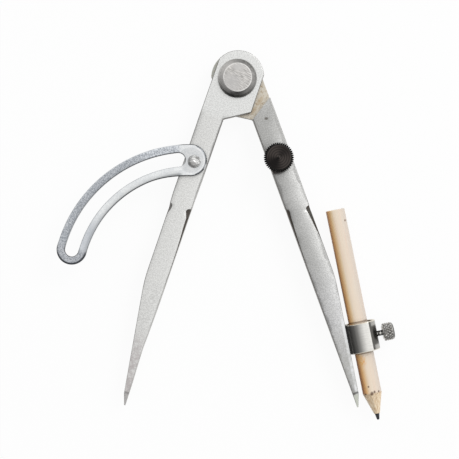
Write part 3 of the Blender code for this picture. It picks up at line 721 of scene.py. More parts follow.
def rivet_finish(name, centre, marks, face, side=None, shade_dabs=()):
    """Fine lines over the head, with painted reflection: the side's tone by bearing is painted light
    and shade, a thin ring round the flat is a painted highlight, and the dabs are painted shade.
    """
    finish = Finish(name, Metallic=1.0)
    lines = finish.noise(finish.spot((*centre, 0), (0, 0, marks), (0.5, 2.8, 1.0)), 1.0, 4.0)
    flat = finish.facing().between(0.90, 0.99)
    bright = finish.mix(lines.between(0.38, 0.60), tuple(c * 0.58 for c in face), face)
    if side:
        cloud = finish.noise(finish.spot(), 0.7, 3.0).between(0.35, 0.7)
        bearing = finish.bearing(centre)
        away = finish.away((*centre, 0))
        flat = away.between(RIVET_FACE + 0.1, RIVET_FACE - 0.1)
        # Painted light and shade on the side by bearing, and a painted highlight on a thin ring round
        # the flat.
        painted_side_light = bearing.wave(139) * 0.172 + bearing.wave(-26, 2.0) * 0.167 + side
        bright = finish.coat((0, 0, 0), (painted_side_light + cloud * 0.06, SIDE_PAINTED_LIGHT), (flat, bright),
                             (abs(away - RIVET_RING).between(0.25, 0.08) * 0.5, RING_PAINTED_HIGHLIGHT))
    streaks = 1.0 - lines.between(0.40, 0.62) * 0.5
    # Dabs of painted shade.
    for place, size, grey in shade_dabs:
        middle = (centre[0] + place[0], centre[1] + place[1])
        bright = finish.mix(finish.mark(middle, size) * streaks, bright,
                            (grey, grey * 0.98, grey * 0.96))
    finish.set(Base_Color=bright, Roughness=lines * 0.12 + 0.30 + (1.0 - flat) * 0.15)
    finish.relief(lines, 0.015)
    return finish


# Painted shade over the face's lower left and near its top.
pivot_steel = rivet_finish("pivot_steel", (0, 0), math.radians(34), (0.72, 0.70, 0.675), 0.28,
                           (((-2.5, -2.0), (5.0, 5.0), 0.55), ((0.5, 4.0), (3.5, 2.0), 0.60)))
washer_steel = rivet_finish("washer_steel", (0, 0), math.radians(38), (0.66, 0.65, 0.63))
pivot_shape = turned(softened(RIVET_PROFILE, RIVET_RADII))
for vertex in pivot_shape.verts:
    if vertex.co.z > SLANTED_FROM[0] and vertex.co.xy.length > SLANTED_FROM[1]:
        vertex.co.xy += RIVET_SLANT
pivot = solid("pivot_head", pivot_shape, pivot_steel)
fit(polish(pivot), "left_leg", "pivot_rivet")
washer = solid("pivot_back_washer", turned(softened(WASHER_PROFILE, WASHER_RADII)), washer_steel)
fit(polish(washer), "left_leg", "pivot_washer")

# Wing
# A slotted arc pressed from 2 mm strip, bluish from its zinc plate. Its edges are rolled over
# by the press, and its eye turns on a domed rivet in the left leg.

EYE_PLACE = (-17.2821, -33.6043)
EYE_MIDDLE = (-18.62, -33.0)
END_MIDDLE = (-66.17, -68.70)
WING_PLACE = Matrix.Translation((*EYE_PLACE, 0)) @ Matrix.Rotation(math.radians(-2), 4, "Z")
WING_CENTRE = (0.0, -48.05)
WING_RADIUS = 48.95
WING_WIDTH = 12.0
WING_LOW = 9.56
WING_HIGH = 11.8
WING_START = math.radians(1.6)
WING_END = math.radians(76.7)
WING_BEARING = 88.0
WING_STEPS = 72
EYE_SWELL = 0.65
SWELL_SPAN = math.radians(24.0)
SLOT_WIDTH = 5.5
SLOT_START = math.radians(7.5)
EYE_RADIUS = 1.65
WING_EDGE = 0.55
SLOT_EDGE = 0.42
PLATE_CORNER_STEPS = 5
ZINC_TINT = (0.965, 1.0, 1.045)
ZINC_PLAIN = (0.985, 1.0, 1.0)
ZINC_EYE = (0.99, 1.0, 1.0)
EYE_SHADOW_LINE = (0.20, 0.205, 0.21)
ZINC_DULL = (0.40, 0.44, 0.49)
ZINC_END = (0.62, 0.64, 0.67)
ZINC_SPECK = (0.15, 0.17, 0.20)
ZINC_END_SHADE = (0.04, 0.045, 0.055)
ZINC_EDGE_DARK = (0.075, 0.08, 0.085)
ZINC_EDGE_LIGHT = (0.80, 0.82, 0.84)


def band(width, start, end, swell=0.0):
    """The outline of an arc-shaped band with round ends, anticlockwise, its inner side swelled
    towards the start."""
    up = math.pi / 2
    centre, half = WING_CENTRE, width / 2
    near, far = [arc(centre, radius, up + a, up + a, 1)[0]
                 for a, radius in ((start, WING_RADIUS - swell / 2), (end, WING_RADIUS))]
    line = arc(centre, WING_RADIUS + half, up + start, up + end, WING_STEPS)
    line += arc(far, half, up + end, up + end + math.pi, 28)[1:]
    for turn in spaced(end, start, WING_STEPS)[1:]:
        fade = min((turn - start) / SWELL_SPAN, 1.0)
        radius = WING_RADIUS - half - swell * (0.5 + 0.5 * math.cos(math.pi * fade))
        line.append(arc(centre, radius, up + turn, up + turn, 1)[0])
    return line + arc(near, half + swell / 2, up + start - math.pi, up + start, 28)[1:-1]


def plate(outlines, low, high):
    """A flat plate from closed outlines that keep its metal on their left, each with the
    radius of its edge."""
    shape = bmesh.new()
    lids = {low: [], high: []}
    for outline, edge in outlines:
        corner = rounded_edge(edge, PLATE_CORNER_STEPS)
        rims = [(inward, low + down) for inward, down in corner[::-1]]
        rims += [(inward, high - down) for inward, down in corner]
        rows = [[shape.verts.new((x, y, level)) for x, y in offset(outline, inward, True)]
                for inward, level in rims]
        skin(shape, rows)
        for level, row in ((low, rows[0]), (high, rows[-1])):
            lids[level] += [shape.edges.get((row[i - 1], row[i])) for i in range(len(row))]
    for edges in lids.values():
        bmesh.ops.triangle_fill(shape, use_beauty=True, edges=edges)
    bmesh.ops.recalc_face_normals(shape, faces=shape.faces)
    return shape


zinc = Finish("bluish_zinc", Metallic=1.0)
arc_centre = (WING_PLACE @ Vector((*WING_CENTRE, 0.0)))[:2]
away = zinc.away((*arc_centre, 0))
from_eye = zinc.away((*EYE_MIDDLE, 0))
from_end = zinc.away((*END_MIDDLE, 0))
below_end = zinc.part(zinc.spot((*END_MIDDLE, 0)), "Y").between(0.5, -2.5)
turned_on = (zinc.bearing(arc_centre) - math.radians(WING_BEARING)) * (180.0 / math.pi)
beside_eye = turned_on.between(8.0, 5.0)
round_end = turned_on.between(74.5, 77.5)
spangle = zinc.noise(zinc.spot(), 0.35, 5.0, 0.62)
peel = zinc.noise(zinc.spot(), 1.7, 3.0, 0.6)
speckle = zinc.noise(zinc.spot(), 2.1, 2.0, 0.6).between(0.38, 0.62)
coarse = (away.between(49.5, 51.5) * (1.0 - beside_eye)).bigger(round_end)
# The rails' greys by radius hold painted dark lines of shade along their edges, and the eye's face is
# painted lighter towards its rim as a highlight.
inner_near = zinc.ramp(away, (43.2, 0.42), (43.8, 0.80), (44.9, 0.98), (46.0, 1.0), tint=ZINC_PLAIN)
inner_far = zinc.ramp(away, (42.9, 0.80), (43.5, 0.52), (44.4, 0.70), (46.2, 0.78), tint=ZINC_TINT)
outer_near = zinc.ramp(away, (51.6, 0.36), (52.3, 0.92), (53.6, 0.88), (54.4, 1.0), tint=ZINC_TINT)
outer_far = zinc.ramp(away, (51.7, 0.52), (52.4, 0.56), (53.0, 0.69), (54.3, 0.69), (54.7, 1.0),
                      tint=ZINC_TINT)
eye_face = zinc.ramp(from_eye, (3.5, 0.80), (4.9, 0.84), (5.3, 1.0), tint=ZINC_EYE)
rails = zinc.mix(away.between(48.5, 49.5),
                 zinc.mix(turned_on.between(52.0, 66.0), inner_near, inner_far),
                 zinc.mix(turned_on.between(18.0, 30.0), outer_near, outer_far))
zinc_face = zinc.coat(
    rails, (beside_eye, eye_face),
    # Painted shadow along the eye's outer edge, where it stands over the leg.
    (from_eye.between(5.55, 5.85) * turned_on.between(0.2, -1.4), EYE_SHADOW_LINE),
    ((spangle * 0.4 + peel * 0.6).between(0.40, 0.60) * 0.30, ZINC_DULL),
    (round_end, ZINC_END),
    (speckle * (coarse * 0.60 + 0.02), ZINC_SPECK),
    # Painted shade along the lower edge of the round end.
    (from_end.between(5.0, 5.4) * below_end * round_end * 0.9, ZINC_END_SHADE))
# Painted light on some rolled edges, painted shade on the rest.
lit_edge = away.between(54.3, 54.8) * (1.0 - beside_eye)
lit_edge = lit_edge + away.between(45.3, 45.9) * (1.0 - away.between(47.0, 48.0))
lit_edge = lit_edge.bigger(turned_on.between(35.0, 60.0) * 0.4) * (1.0 - round_end)
zinc_edge = zinc.mix(lit_edge, ZINC_EDGE_DARK, ZINC_EDGE_LIGHT)
zinc.set(Base_Color=zinc.mix(zinc.facing().between(0.80, 0.97), zinc_edge, zinc_face),
         Roughness=spangle * 0.16 + 0.20)
zinc.relief(spangle * 0.4 + peel * 0.6, 0.03)

eye = arc((0, 0), EYE_RADIUS, math.tau, 0, 32)[:-1]
wing_outlines = [(band(WING_WIDTH, WING_START, WING_END, EYE_SWELL), WING_EDGE),
                 (band(SLOT_WIDTH, SLOT_START, WING_END)[::-1], SLOT_EDGE), (eye, SLOT_EDGE)]
wing = solid("wing_strip", plate(wing_outlines, WING_LOW, WING_HIGH), zinc, WING_PLACE)
fit(polish(wing), "wing", "wing")

# Wing rivet
# A small steel rivet with a countersunk tail in the left leg. Its dome was dented on one side
# when it was set.

WING_RIVET_PROFILE = [(0, 1.5), (2.5, 1.5), (2.5, 2.3), (1.6, 2.8), (1.6, 11.84), (2.55, 11.84),
                      (2.6, 12.15), (2.3, 12.9), (1.6, 13.5), (0.8, 13.75), (0, 13.8)]
WING_RIVET_RADII = (0.3, 0.2, 0.1, 0, 0.05, 0.15, 0.6, 0.6, 0)
DOME_MIDDLE = Vector((0, 0, 11.75))
DOME_FROM = 11.9
DENT_DIRECTION = Vector((0.50, 0.42, 0.76)).normalized()
DENT_FROM = 1.55
DENT_SHARE = 0.85

dome = turned(softened(WING_RIVET_PROFILE, WING_RIVET_RADII, 6), 64)
for vertex in dome.verts:
    past = (vertex.co - DOME_MIDDLE).dot(DENT_DIRECTION) - DENT_FROM
    if vertex.co.z > DOME_FROM and past > 0:
        vertex.co -= DENT_DIRECTION * past * DENT_SHARE
# Painted shade on the dome's lower left, and a painted dark reflection in its dent.
dome_steel = rivet_finish("dome_steel", EYE_PLACE, math.radians(20), (0.76, 0.76, 0.75), None,
                          (((-0.4, -1.3), (2.2, 1.6), 0.47), ((1.5, 1.6), (1.3, 1.3), 0.27)))
wing_rivet = solid("wing_rivet_dome", dome, dome_steel, Matrix.Translation((*EYE_PLACE, 0)))
fit(polish(wing_rivet, 50.0), "left_leg", "wing_rivet")

# Clamp screw
# A blackened M5 screw in the right leg, with a collar and a low knob. The knob's face is
# turned in fine rings round a small pip, and its rim is a row of round ridges.

KNOB_CENTRE = (16.285, -32.1703)
CLAMP_PLACE = Matrix.Translation((*KNOB_CENTRE, 9.8))
KNOB_PROFILE = [(2.5, 0.6), (2.5, -0.27), (3.6, -0.27), (3.7, -0.15), (3.7, 2.6), (4.9, 2.6),
                (5.2, 2.9), (5.2, 6.65), (5.0, 7.0), (4.75, 7.2), (0.55, 7.12), (0.35, 7.34),
                (0, 7.4)]
KNOB_RADII = (0, 0, 0, 0.15, 0.2, 0.2, 0.3, 0.1, 0, 0, 0.1)
KNOB_RINGS = 6.6
STUD_PROFILE = [(0, -8.0), (1.8, -8.0), (2.15, -7.6), (2.15, 1.0), (0, 1.0)]
STUD_THREAD = (2.1, 0.8, -7.4, -0.5)
RIDGES = 42
RIDGE_SPAN = (5.22, 2.6, 7.2)
RIDGE_BULGE = 0.80
RIDGE_FLATNESS = 0.48


class Shaper(Board):
    """A Geometry Nodes tree with named inputs, run once to make a plain mesh."""

    def __init__(self, name, **values):
        super().__init__(bpy.data.node_groups.new(name, "GeometryNodeTree"))
        self.values = values
        kinds = {key: "Int" if isinstance(value, int) else "Float" for key, value in values.items()}
        for way, key, kind in (("OUTPUT", "Shape", "Geometry"), ("INPUT", "Shape", "Geometry"),
                               *(("INPUT", key, kind) for key, kind in kinds.items())):
            self.tree.interface.new_socket(name=key, in_out=way, socket_type="NodeSocket" + kind)
        start = self.tree.nodes.new("NodeGroupInput")
        self.given = {key: Wire(self.tree, start.outputs[key]) for key in (*values, "Shape")}

    def vector(self, x, y, z):
        return self.node("ShaderNodeCombineXYZ", {}, 0, x, y, z)

    def make(self, name, result, finish, place, start=None):
        """End the tree, run it, and keep what it makes as a mesh in its place."""
        whole = self.node("GeometryNodeRealizeInstances", {}, 0, result)
        dressed = self.node("GeometryNodeSetMaterial", {}, 0, whole, Material=finish.material)
        end = self.tree.nodes.new("NodeGroupOutput")
        plug(self.tree, end.inputs["Shape"], dressed)
        made = show(name, start or bpy.data.meshes.new(name))
        modifier = made.modifiers.new(name, "NODES")
        modifier.node_group = self.tree
        for item in self.tree.interface.items_tree:
            if item.in_out == "INPUT" and item.name in self.values:
                modifier[item.identifier] = self.values[item.name]
        settle(made)
        made.data.transform(Matrix.Scale(1 / METRE, 4) @ place)
        return made


def ridge_rim(name, count, radius, low, high, bulge, finish, place):
    """Round ridges that stand side by side round a rim, each a long bead."""
    rim = Shaper(name, Count=count, Radius=radius, Low=low, High=high, Bulge=bulge)
    given = rim.given
    middle = rim.vector(0.0, 0.0, (given["Low"] + given["High"]) * 0.5)
    posts = rim.node("GeometryNodeMeshCircle", {}, 0, Vertices=given["Count"],
                     Radius=given["Radius"])
    spin = rim.node("GeometryNodeInputIndex", {}, 0) * (math.tau / count)
    bead = rim.node("GeometryNodeMeshUVSphere", {}, 0, Segments=10, Rings=10, Radius=1.0)
    size = rim.vector(given["Bulge"], given["Bulge"] * RIDGE_FLATNESS,
                      (given["High"] - given["Low"]) * 0.5)
    shaped = rim.node("GeometryNodeTransform", {}, 0, bead, Translation=middle, Scale=size)
    ring = rim.node("GeometryNodeInstanceOnPoints", {}, 0, Points=posts, Instance=shaped,
                    Rotation=rim.vector(0.0, 0.0, spin))
    return rim.make(name, ring, finish, place)


def thread(name, radius, pitch, low, high, finish, place):
    """A screw thread: one helical rib with a four-sided section."""
    screw = Shaper(name, Radius=radius, Pitch=pitch, Length=high - low)
    given = screw.given
    helix = screw.node("GeometryNodeCurveSpiral", {}, 0, Resolution=24,
                       Rotations=given["Length"].reckon("DIVIDE", given["Pitch"]),
                       Start_Radius=given["Radius"], End_Radius=given["Radius"],
                       Height=given["Length"], Reverse=False)
    section = screw.node("GeometryNodeCurvePrimitiveCircle", {}, 0, Resolution=4,
                         Radius=given["Pitch"] * 0.5)
    rib = screw.node("GeometryNodeCurveToMesh", {}, 0, Curve=helix, Profile_Curve=section,
                     Fill_Caps=True)
    return screw.make(name, rib, finish, place @ Matrix.Translation((0, 0, low)))


black = Finish("blackened_steel", Specular_IOR_Level=0.25)
rings = black.away((*KNOB_CENTRE, 0))
bearing = black.bearing(KNOB_CENTRE)
grooves = (rings * KNOB_RINGS).reckon("SINE") * 0.5 + 0.5
grain = black.noise(black.spot(), 1.6, 5.0, 0.6)
# Painted sheen of the turned face by bearing, with painted shade towards the lower left; below, painted
# shade and a painted highlight on the pip, and a painted glint on the rim at the right.
painted_sheen = bearing.wave(140, 2.0) * 0.25 + 0.5 - bearing.wave(225) * 0.12
black_face = black.coat(
    (0.007, 0.005, 0.0045),
    (painted_sheen.between(0.1, 0.8), (0.064, 0.053, 0.048)),
    (grooves * 0.6 * rings.between(0.6, 1.0), (0.004, 0.0035, 0.0035)),
    (black.mark((15.83, -32.57), (0.55, 0.55)), (0.003, 0.003, 0.003)),
    (black.mark((16.5, -31.8), (0.4, 0.4)) * 0.8, (0.09, 0.085, 0.08)),
    (black.mark((21.5, -31.7), (0.6, 1.0)), (0.15, 0.14, 0.13)))
black_side = black.mix(grain.between(0.4, 0.7), (0.008, 0.007, 0.007), (0.030, 0.028, 0.026))
face_on = black.facing().between(0.85, 0.97)
black.set(Base_Color=black.mix(face_on, black_side, black_face), Metallic=face_on * 0.55,
          Roughness=(1.0 - face_on) * 0.3 + grain * 0.15 + 0.25)
black.relief(grooves * 0.7 + grain * 0.3, 0.03)
knob = solid("knob", turned(softened(KNOB_PROFILE, KNOB_RADII)), black, CLAMP_PLACE)
fit(polish(knob), "clamp_knob", "clamp_knob")

black_rim = Finish("blackened_rim", Specular_IOR_Level=0.05)
rim_grain = black_rim.noise(black_rim.spot(), 1.6, 5.0, 0.6)
black_rim.set(Base_Color=black_rim.mix(rim_grain.between(0.4, 0.7), (0.010, 0.009, 0.009),
                                       (0.032, 0.030, 0.028)), Roughness=rim_grain * 0.2 + 0.6)
ridges = ridge_rim("knob_ridges", RIDGES, *RIDGE_SPAN, RIDGE_BULGE, black_rim, CLAMP_PLACE)
fit(polish(ridges), "clamp_knob", None)
stud = solid("stud", turned(STUD_PROFILE, 48), black, CLAMP_PLACE)
fit(polish(stud), "clamp_stud", "clamp_stud")
stud_thread = thread("stud_thread", *STUD_THREAD, black, CLAMP_PLACE)
fit(polish(stud_thread), "clamp_stud", None)

# Pencil holder
# A strap of nickelled steel, wrapped round the pencil and the leg's side with its ends
# lapped in front, and riveted to the leg from inside. Much of its colour is painted shade and
# reflection: dark on its left, inside and round the thumb screw, bright on its right and edges.

HOLDER_SPOT = (49.5769, -104.0023, 5.5)
HOLDER_TURN = math.radians(11.49812)
HOLDER_PLACE = Matrix.Translation(HOLDER_SPOT) @ Matrix.Rotation(HOLDER_TURN, 4, "Z")
ALONG_PENCIL = HOLDER_PLACE @ Matrix.Rotation(math.pi / 2, 4, "X")
STRAP_BORE = 4.12
STRAP_BACK = 4.45
STRAP_PLAY = 1.9
STRAP_CORNER = 2.6
STRAP_THICKNESS = 0.9
STRAP_GAP = 0.15
STRAP_HEIGHT = 11.8
STRAP_EDGE = 0.24
STRAP_INNER_END = 0.4
STRAP_OUTER_END = math.radians(72.5)
SCREW_SHADOW_PLACE = (5.4, 0.5, 0)
STRAP_PAINTED_SHADE = (0.02, 0.019, 0.018)
STRAP_TINT = (1.0, 0.985, 0.94)
SUNK_RIVET = [(0, 0.2), (1.7, 0.2), (1.0, 0.95), (1.0, 4.2), (0, 4.2)]


def strap_line():
    """The strap's middle line as (across, up), wound from its inner end round to the outer."""
    side, quarter = -STRAP_BACK, math.pi / 2
    climb = STRAP_THICKNESS + STRAP_GAP
    inner = STRAP_BORE + STRAP_THICKNESS / 2
    bend = STRAP_CORNER + STRAP_THICKNESS / 2
    corner = (side + STRAP_CORNER, STRAP_BORE - STRAP_CORNER)
    line = [(STRAP_INNER_END, inner)]
    line += arc((STRAP_PLAY, 0), inner, quarter, -quarter, 40)
    line += arc((corner[0], -corner[1]), bend, -quarter, -math.pi, 12)
    for i in range(13):
        line += arc(corner, bend + climb * i / 12, math.pi - quarter * i / 12, 0, 1)[:1]
    return line + arc((STRAP_PLAY, 0), inner + climb, quarter, STRAP_OUTER_END, 16)


def held(finish, stretch=(1, 1, 1)):
    """Coordinates across and along the pencil, from the middle of its holder."""
    return finish.spot(HOLDER_SPOT, (0, 0, -HOLDER_TURN), stretch)


shaded_strap_nickel = Finish("dark_nickel", Metallic=1.0)
across = shaded_strap_nickel.part(held(shaded_strap_nickel), "X")
from_middle = abs(shaded_strap_nickel.part(held(shaded_strap_nickel), "Y"))
wrap_marks = shaded_strap_nickel.noise(held(shaded_strap_nickel, (0.25, 5.0, 0.25)), 1.0, 4.0)
wrap_cloud = shaded_strap_nickel.noise(shaded_strap_nickel.spot(), 0.5, 4.0)
# Painted light on the inner layer's ends; the rest of the inner layer is painted shade.
ends_lit = from_middle.between(3.3, 4.3) * across.between(4.4, 5.0)
inner_sheet = shaded_strap_nickel.mix(ends_lit, (0.14, 0.135, 0.125), (0.50, 0.49, 0.46))
# Painted shade inside the loop and in a patch round the thumb screw.
inside = shaded_strap_nickel.away(HOLDER_PLACE @ Vector((STRAP_PLAY, 0, 0)), (0, 0, -HOLDER_TURN), (1, 0, 1))
painted_lighting = shaded_strap_nickel.mark((HOLDER_PLACE @ Vector(SCREW_SHADOW_PLACE))[:2], (0.7, 3.2), HOLDER_TURN)
# Painted reflection and shade across the front, dark on the left and bright on the right, and a painted
# highlight along the cut edges.
sheet = shaded_strap_nickel.coat(
    shaded_strap_nickel.ramp(across, (-5.0, 0.03), (-3.8, 0.18), (-2.5, 0.125), (-1.3, 0.24), (0.2, 0.60),
                  (1.5, 0.90), tint=STRAP_TINT),
    (across.between(3.65, 3.85), inner_sheet),
    (wrap_marks.between(0.4, 0.7) * 0.18, (0.20, 0.195, 0.18)),
    (inside.between(4.6, 4.3), STRAP_PAINTED_SHADE),
    (painted_lighting * 0.9, STRAP_PAINTED_SHADE),
    (from_middle.between(5.50, 5.62) * across.between(-4.9, -4.5) * 0.8, (0.80, 0.74, 0.63)))
shaded_strap_nickel.set(Base_Color=sheet, Roughness=wrap_marks * 0.12 + wrap_cloud * 0.08 + 0.22)
shaded_strap_nickel.relief(wrap_marks * 0.8 + wrap_cloud * 0.2, 0.015)

strap_points = strap_line()
strap_mesh = bpy.data.meshes.new("strap_line")
strap_mesh.from_pydata([(x, y, 0) for x, y in strap_points],
                       [(i, i + 1) for i in range(len(strap_points) - 1)], [])
wrap = Shaper("strap_sweep", Thickness=STRAP_THICKNESS, Height=STRAP_HEIGHT, Edge=STRAP_EDGE)
wrap_line = wrap.node("GeometryNodeSetCurveNormal", {"mode": "Z_UP"}, 0,
                      wrap.node("GeometryNodeMeshToCurve", {}, 0, wrap.given["Shape"]))
wrap_section = wrap.node("GeometryNodeCurvePrimitiveQuadrilateral", {"mode": "RECTANGLE"}, 0,
                         Width=wrap.given["Thickness"], Height=wrap.given["Height"])
wrap_section = wrap.node("GeometryNodeFilletCurve", {"mode": "POLY"}, 0, wrap_section,
                         Count=4, Radius=wrap.given["Edge"])
wrapped = wrap.node("GeometryNodeCurveToMesh", {}, 0, Curve=wrap_line, Profile_Curve=wrap_section,
                    Fill_Caps=True)
strap = wrap.make("strap", wrapped, shaded_strap_nickel, ALONG_PENCIL, strap_mesh)
fit(polish(strap), "right_leg", "holder_strap")
sideways = HOLDER_PLACE @ Matrix.Translation((-STRAP_BORE, 0, 0)) @ Matrix.Rotation(-math.pi / 2, 4, "Y")
sunk = solid("holder_rivet_sunk", turned(SUNK_RIVET, 32), washer_steel, sideways)
fit(polish(sunk), "right_leg", "holder_rivet")

# Thumb screw
# Dull nickel, with a round head that has a diamond knurl between rounded edges, and a short
# threaded shank through the strap's outer side.

THUMB_SHANK = [(0, 4.13), (0.85, 4.13), (1.0, 4.3), (1.0, 9.3), (0, 9.3)]
THUMB_HEAD = [(0, 8.95), (1.9, 8.95), (2.8, 9.05), (3.12, 9.6), (3.12, 12.6), (3.40, 12.8),
              (3.40, 13.1), (2.7, 13.6), (1.9, 13.65), (0, 13.65)]
THUMB_RADII = (0, 0.3, 0.3, 0.05, 0.1, 0.2, 0.5, 0.4, 0)
THUMB_PLACE = HOLDER_PLACE @ Matrix.Rotation(math.pi / 2, 4, "Y")
THUMB_THREAD = (0.94, 0.5, 4.4, 9.2)
KNURL_AROUND = 16
KNURL_ROWS = 4
KNURL_SPAN = (3.24, 9.5, 12.7)
# How metallic dull nickel is, its clouds' noise, its roughness and its depth.
NICKEL = (1.0, (1.3, 5.0, 0.6), 0.22, 0.02)
SPIKE_TOP = 0.12
SPIKE_FOOT = 0.68
SPIKE_HEIGHT = 0.34


def diamond_knurl(name, radius, low, high, finish, place):
    """Small pyramids in staggered rows round a head."""
    knurl = Shaper(name, Around=KNURL_AROUND, Rows=KNURL_ROWS, Radius=radius, Low=low,
                   Pitch=(high - low) / KNURL_ROWS)
    given = knurl.given
    index = knurl.node("GeometryNodeInputIndex", {}, 0)
    row = index.reckon("DIVIDE", given["Around"]).reckon("FLOOR")
    angle = (index + row.reckon("MODULO", 2.0) * 0.5) * (math.tau / KNURL_AROUND)
    stand = knurl.vector(angle.reckon("COSINE") * given["Radius"],
                         angle.reckon("SINE") * given["Radius"],
                         given["Low"] + (row + 0.5) * given["Pitch"])
    posts = knurl.node("GeometryNodePoints", {}, 0, Count=given["Around"] * given["Rows"],
                       Position=stand)
    spike = knurl.node("GeometryNodeMeshCone", {"fill_type": "NGON"}, 0, Vertices=4,
                       Radius_Top=SPIKE_TOP, Radius_Bottom=SPIKE_FOOT, Depth=SPIKE_HEIGHT)
    spike = knurl.node("GeometryNodeTransform", {}, 0, spike, Scale=(1.0, 0.9, 1.0))
    rows = knurl.node("GeometryNodeInstanceOnPoints", {}, 0, Points=posts, Instance=spike,
                      Rotation=knurl.vector(0.0, math.pi / 2, angle))
    return knurl.make(name, rows, finish, place)


def clouded(name, metallic, grain, roughness, depth):
    """A finish that is rougher in clouds and a little uneven, and its clouds."""
    finish = Finish(name, Metallic=metallic)
    cloud = finish.noise(finish.spot(), *grain)
    finish.set(Roughness=cloud * 0.2 + roughness)
    finish.relief(cloud, depth)
    return finish, cloud


nickel, cloud = clouded("dull_nickel", *NICKEL)
nickel.set(Base_Color=nickel.mix(cloud.between(0.36, 0.66), (0.34, 0.335, 0.32), (0.58, 0.57, 0.55)))
shank_nickel, _ = clouded("oily_nickel", *NICKEL)
# Painted highlight along the top of the shank and its thread, and painted shade down their sides.
shank_nickel.set(Base_Color=shank_nickel.mix(shank_nickel.facing().between(0.80, 0.95),
                                             (0.035, 0.034, 0.03), (0.66, 0.65, 0.62)))
head_nickel, _ = clouded("knurled_nickel", *NICKEL)
out_along = head_nickel.part(held(head_nickel), "X")
knurl_shade = out_along.between(9.4, 9.7) * (1.0 - out_along.between(12.5, 12.65))
# Painted shade: a dark band round the head's far end and between the knurl's pyramids.
head_nickel.set(Base_Color=head_nickel.coat(
    (0.60, 0.59, 0.57), (out_along.between(12.9, 13.15), (0.12, 0.118, 0.11)),
    (knurl_shade, (0.07, 0.068, 0.06))))
head = solid("thumb_head", turned(softened(THUMB_HEAD, THUMB_RADII), 52), head_nickel, THUMB_PLACE)
fit(polish(head), "thumb_knob", "thumb_knob")
knurl = diamond_knurl("thumb_knurl", *KNURL_SPAN, nickel, THUMB_PLACE)
fit(knurl, "thumb_knob", None)
shank = solid("thumb_shank", turned(THUMB_SHANK, 32), shank_nickel, THUMB_PLACE)
fit(polish(shank), "thumb_screw", "thumb_screw")
shank_thread = thread("thumb_thread", *THUMB_THREAD, shank_nickel, THUMB_PLACE)
fit(polish(shank_thread), "thumb_screw", None)

# Pencil
# A round pencil of clear lacquered softwood, glued up of two slats, cut by hand to a cone
# with a wavy border, with a graphite lead. Its own axis runs down to its point.

PENCIL_RADIUS = 3.8
PENCIL_END = -52.3
PENCIL_SHOULDER = 22.9
PENCIL_MOUTH = 31.4
LEAD_POINT = 34.1
PENCIL_STEPS = 72
POINT_LEAN = 0.25
CONE_MOUTH = 1.22
CONE_HOLLOW = 0.05
PENCIL_SHIFT = 0.15
STRAP_SHADOW_PLACES = ((-6.35, 0.55), (6.25, 0.45))
# Dark knots on the barrel and along the cone's border, as (x, y, half width) on the table.
KNOTS = ((43.12, -57.0, 0.5), (48.76, -76.28, 0.4), (52.4, -123.68, 0.45), (53.8, -126.4, 0.9),
         (54.8, -125.68, 0.6), (56.56, -125.52, 0.5), (51.44, -126.88, 0.45))
STAIN_PLACE = (-1.5, -9.2, 0)
LEAD_PROFILE = [(0, PENCIL_END - 0.02), (0.9, PENCIL_END - 0.02), (1.0, PENCIL_END + 0.1),
                (1.0, PENCIL_MOUTH), (0.90, PENCIL_MOUTH + 0.4), (0.55, 33.7), (0.32, 34.04),
                (0, LEAD_POINT)]


def cone_ring(share):
    """One ring of the cut cone, from its wavy border to its mouth, in shallow knife cuts."""
    ring = []
    for i in range(PENCIL_STEPS):
        angle = math.tau * i / PENCIL_STEPS
        border = PENCIL_SHOULDER + 0.3 * math.sin(2 * angle + 0.9) + 0.2 * math.sin(3 * angle)
        border += 0.2 * math.sin(7 * angle + 2.0)
        radius = PENCIL_RADIUS + (CONE_MOUTH - PENCIL_RADIUS) * share
        radius -= CONE_HOLLOW * math.sin(math.pi * share) * (1 + math.cos(9 * angle))
        ring.append((radius * math.cos(angle) + POINT_LEAN * share, radius * math.sin(angle),
                     border + (PENCIL_MOUTH - border) * share))
    return ring


def pencil_shape():
    """End face, barrel and cut cone, whose border waves round the barrel."""
    barrel = [(1.0, PENCIL_END), (PENCIL_RADIUS - 0.45, PENCIL_END),
              (PENCIL_RADIUS - 0.12, PENCIL_END + 0.06), (PENCIL_RADIUS, PENCIL_END + 0.3),
              *((PENCIL_RADIUS, down) for down in (-40, -25, -10, 5, 14))]
    rings = [circle(radius, down, PENCIL_STEPS) for radius, down in barrel]
    rings += [cone_ring(share) for share in (0, 0.04, 0.2, 0.4, 0.6, 0.8, 0.96, 1.0)]
    return loft([[(x + PENCIL_SHIFT, y, z) for x, y, z in ring] for ring in rings])


wood = Finish("softwood", Coat_Weight=0.2, Coat_Roughness=0.3)
across = wood.part(held(wood), "X")
down = wood.part(held(wood), "Y") * -1.0
fibre = wood.noise(held(wood, (2.4, 0.09, 2.4)), 1.0, 4.0)
growth = wood.noise(held(wood, (0.55, 0.03, 0.55)), 1.0, 3.0)
dirt = wood.noise(wood.spot(), 1.1, 5.0, 0.65)
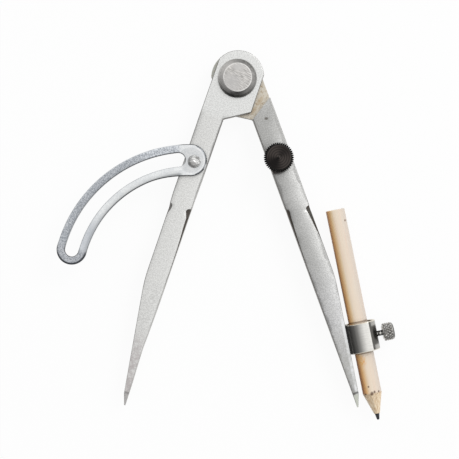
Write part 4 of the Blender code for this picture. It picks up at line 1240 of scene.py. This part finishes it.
# The colour across the barrel is the lacquered wood's tone and partly painted shade, deepest at its left
# edge and greyer on its right.
lacquer = wood.ramp(across + (growth - 0.5) * 0.9 - down.between(5.0, 13.0) * 0.45,
                    (-3.7, (0.60, 0.28, 0.12)), (-2.9, (1.0, 0.58, 0.24)), (-2.0, (1.0, 0.75, 0.45)),
                    (-1.0, (0.96, 0.83, 0.66)), (0.6, (0.83, 0.72, 0.59)), (3.0, (0.68, 0.61, 0.53)))
cut_wood = wood.coat(
    (0.96, 0.80, 0.58), (fibre.between(0.35, 0.65), (0.74, 0.54, 0.34)),
    (dirt.between(0.52, 0.66) * 0.6 * down.between(29.0, 23.0), (0.28, 0.16, 0.08)))
stained = wood.mark((HOLDER_PLACE @ Vector(STAIN_PLACE))[:2], (2.0, 2.8), HOLDER_TURN)
knotted = [(wood.mark((x, y), (half, half * 1.3)) * 0.85, (0.14, 0.07, 0.035)) for x, y, half in KNOTS]
# Painted shadow rings on the barrel along the strap's two edges.
strap_shadows = [abs(down - place).between(half, 0.1) for place, half in STRAP_SHADOW_PLACES]
barrel = wood.coat(
    lacquer,
    (fibre.between(0.35, 0.7) * 0.12, (0.90, 0.44, 0.27)),
    (stained * dirt.between(0.36, 0.56) * 0.85, (0.92, 0.50, 0.15)),
    (growth.between(0.50, 0.72) * 0.15, (0.95, 0.50, 0.33)),
    (down.between(22.5, 23.1), cut_wood),
    *knotted,
    ((strap_shadows[0] + strap_shadows[1]) * 0.7, (0.16, 0.09, 0.045)))
wood.set(Base_Color=barrel, Roughness=fibre * 0.15 + 0.40)
wood.relief(fibre * 0.6 + growth * 0.4, 0.03)
pencil = solid("pencil_barrel", pencil_shape(), wood, ALONG_PENCIL)
fit(polish(pencil, 12.0), "pencil", "pencil_wood")

lead, rubbed = clouded("graphite_lead", 0.3, (2.5, 4.0), 0.35, 0.04)
lead.set(Base_Color=lead.mix(rubbed.between(0.35, 0.65), (0.022, 0.022, 0.024), (0.055, 0.055, 0.06)))
core_shape = turned(LEAD_PROFILE, 32)
for vertex in core_shape.verts:
    if vertex.co.z > PENCIL_MOUTH - 1:
        vertex.co.x += POINT_LEAN + PENCIL_SHIFT
core = solid("pencil_core", core_shape, lead, ALONG_PENCIL)
fit(polish(core), "pencil", "pencil_lead")
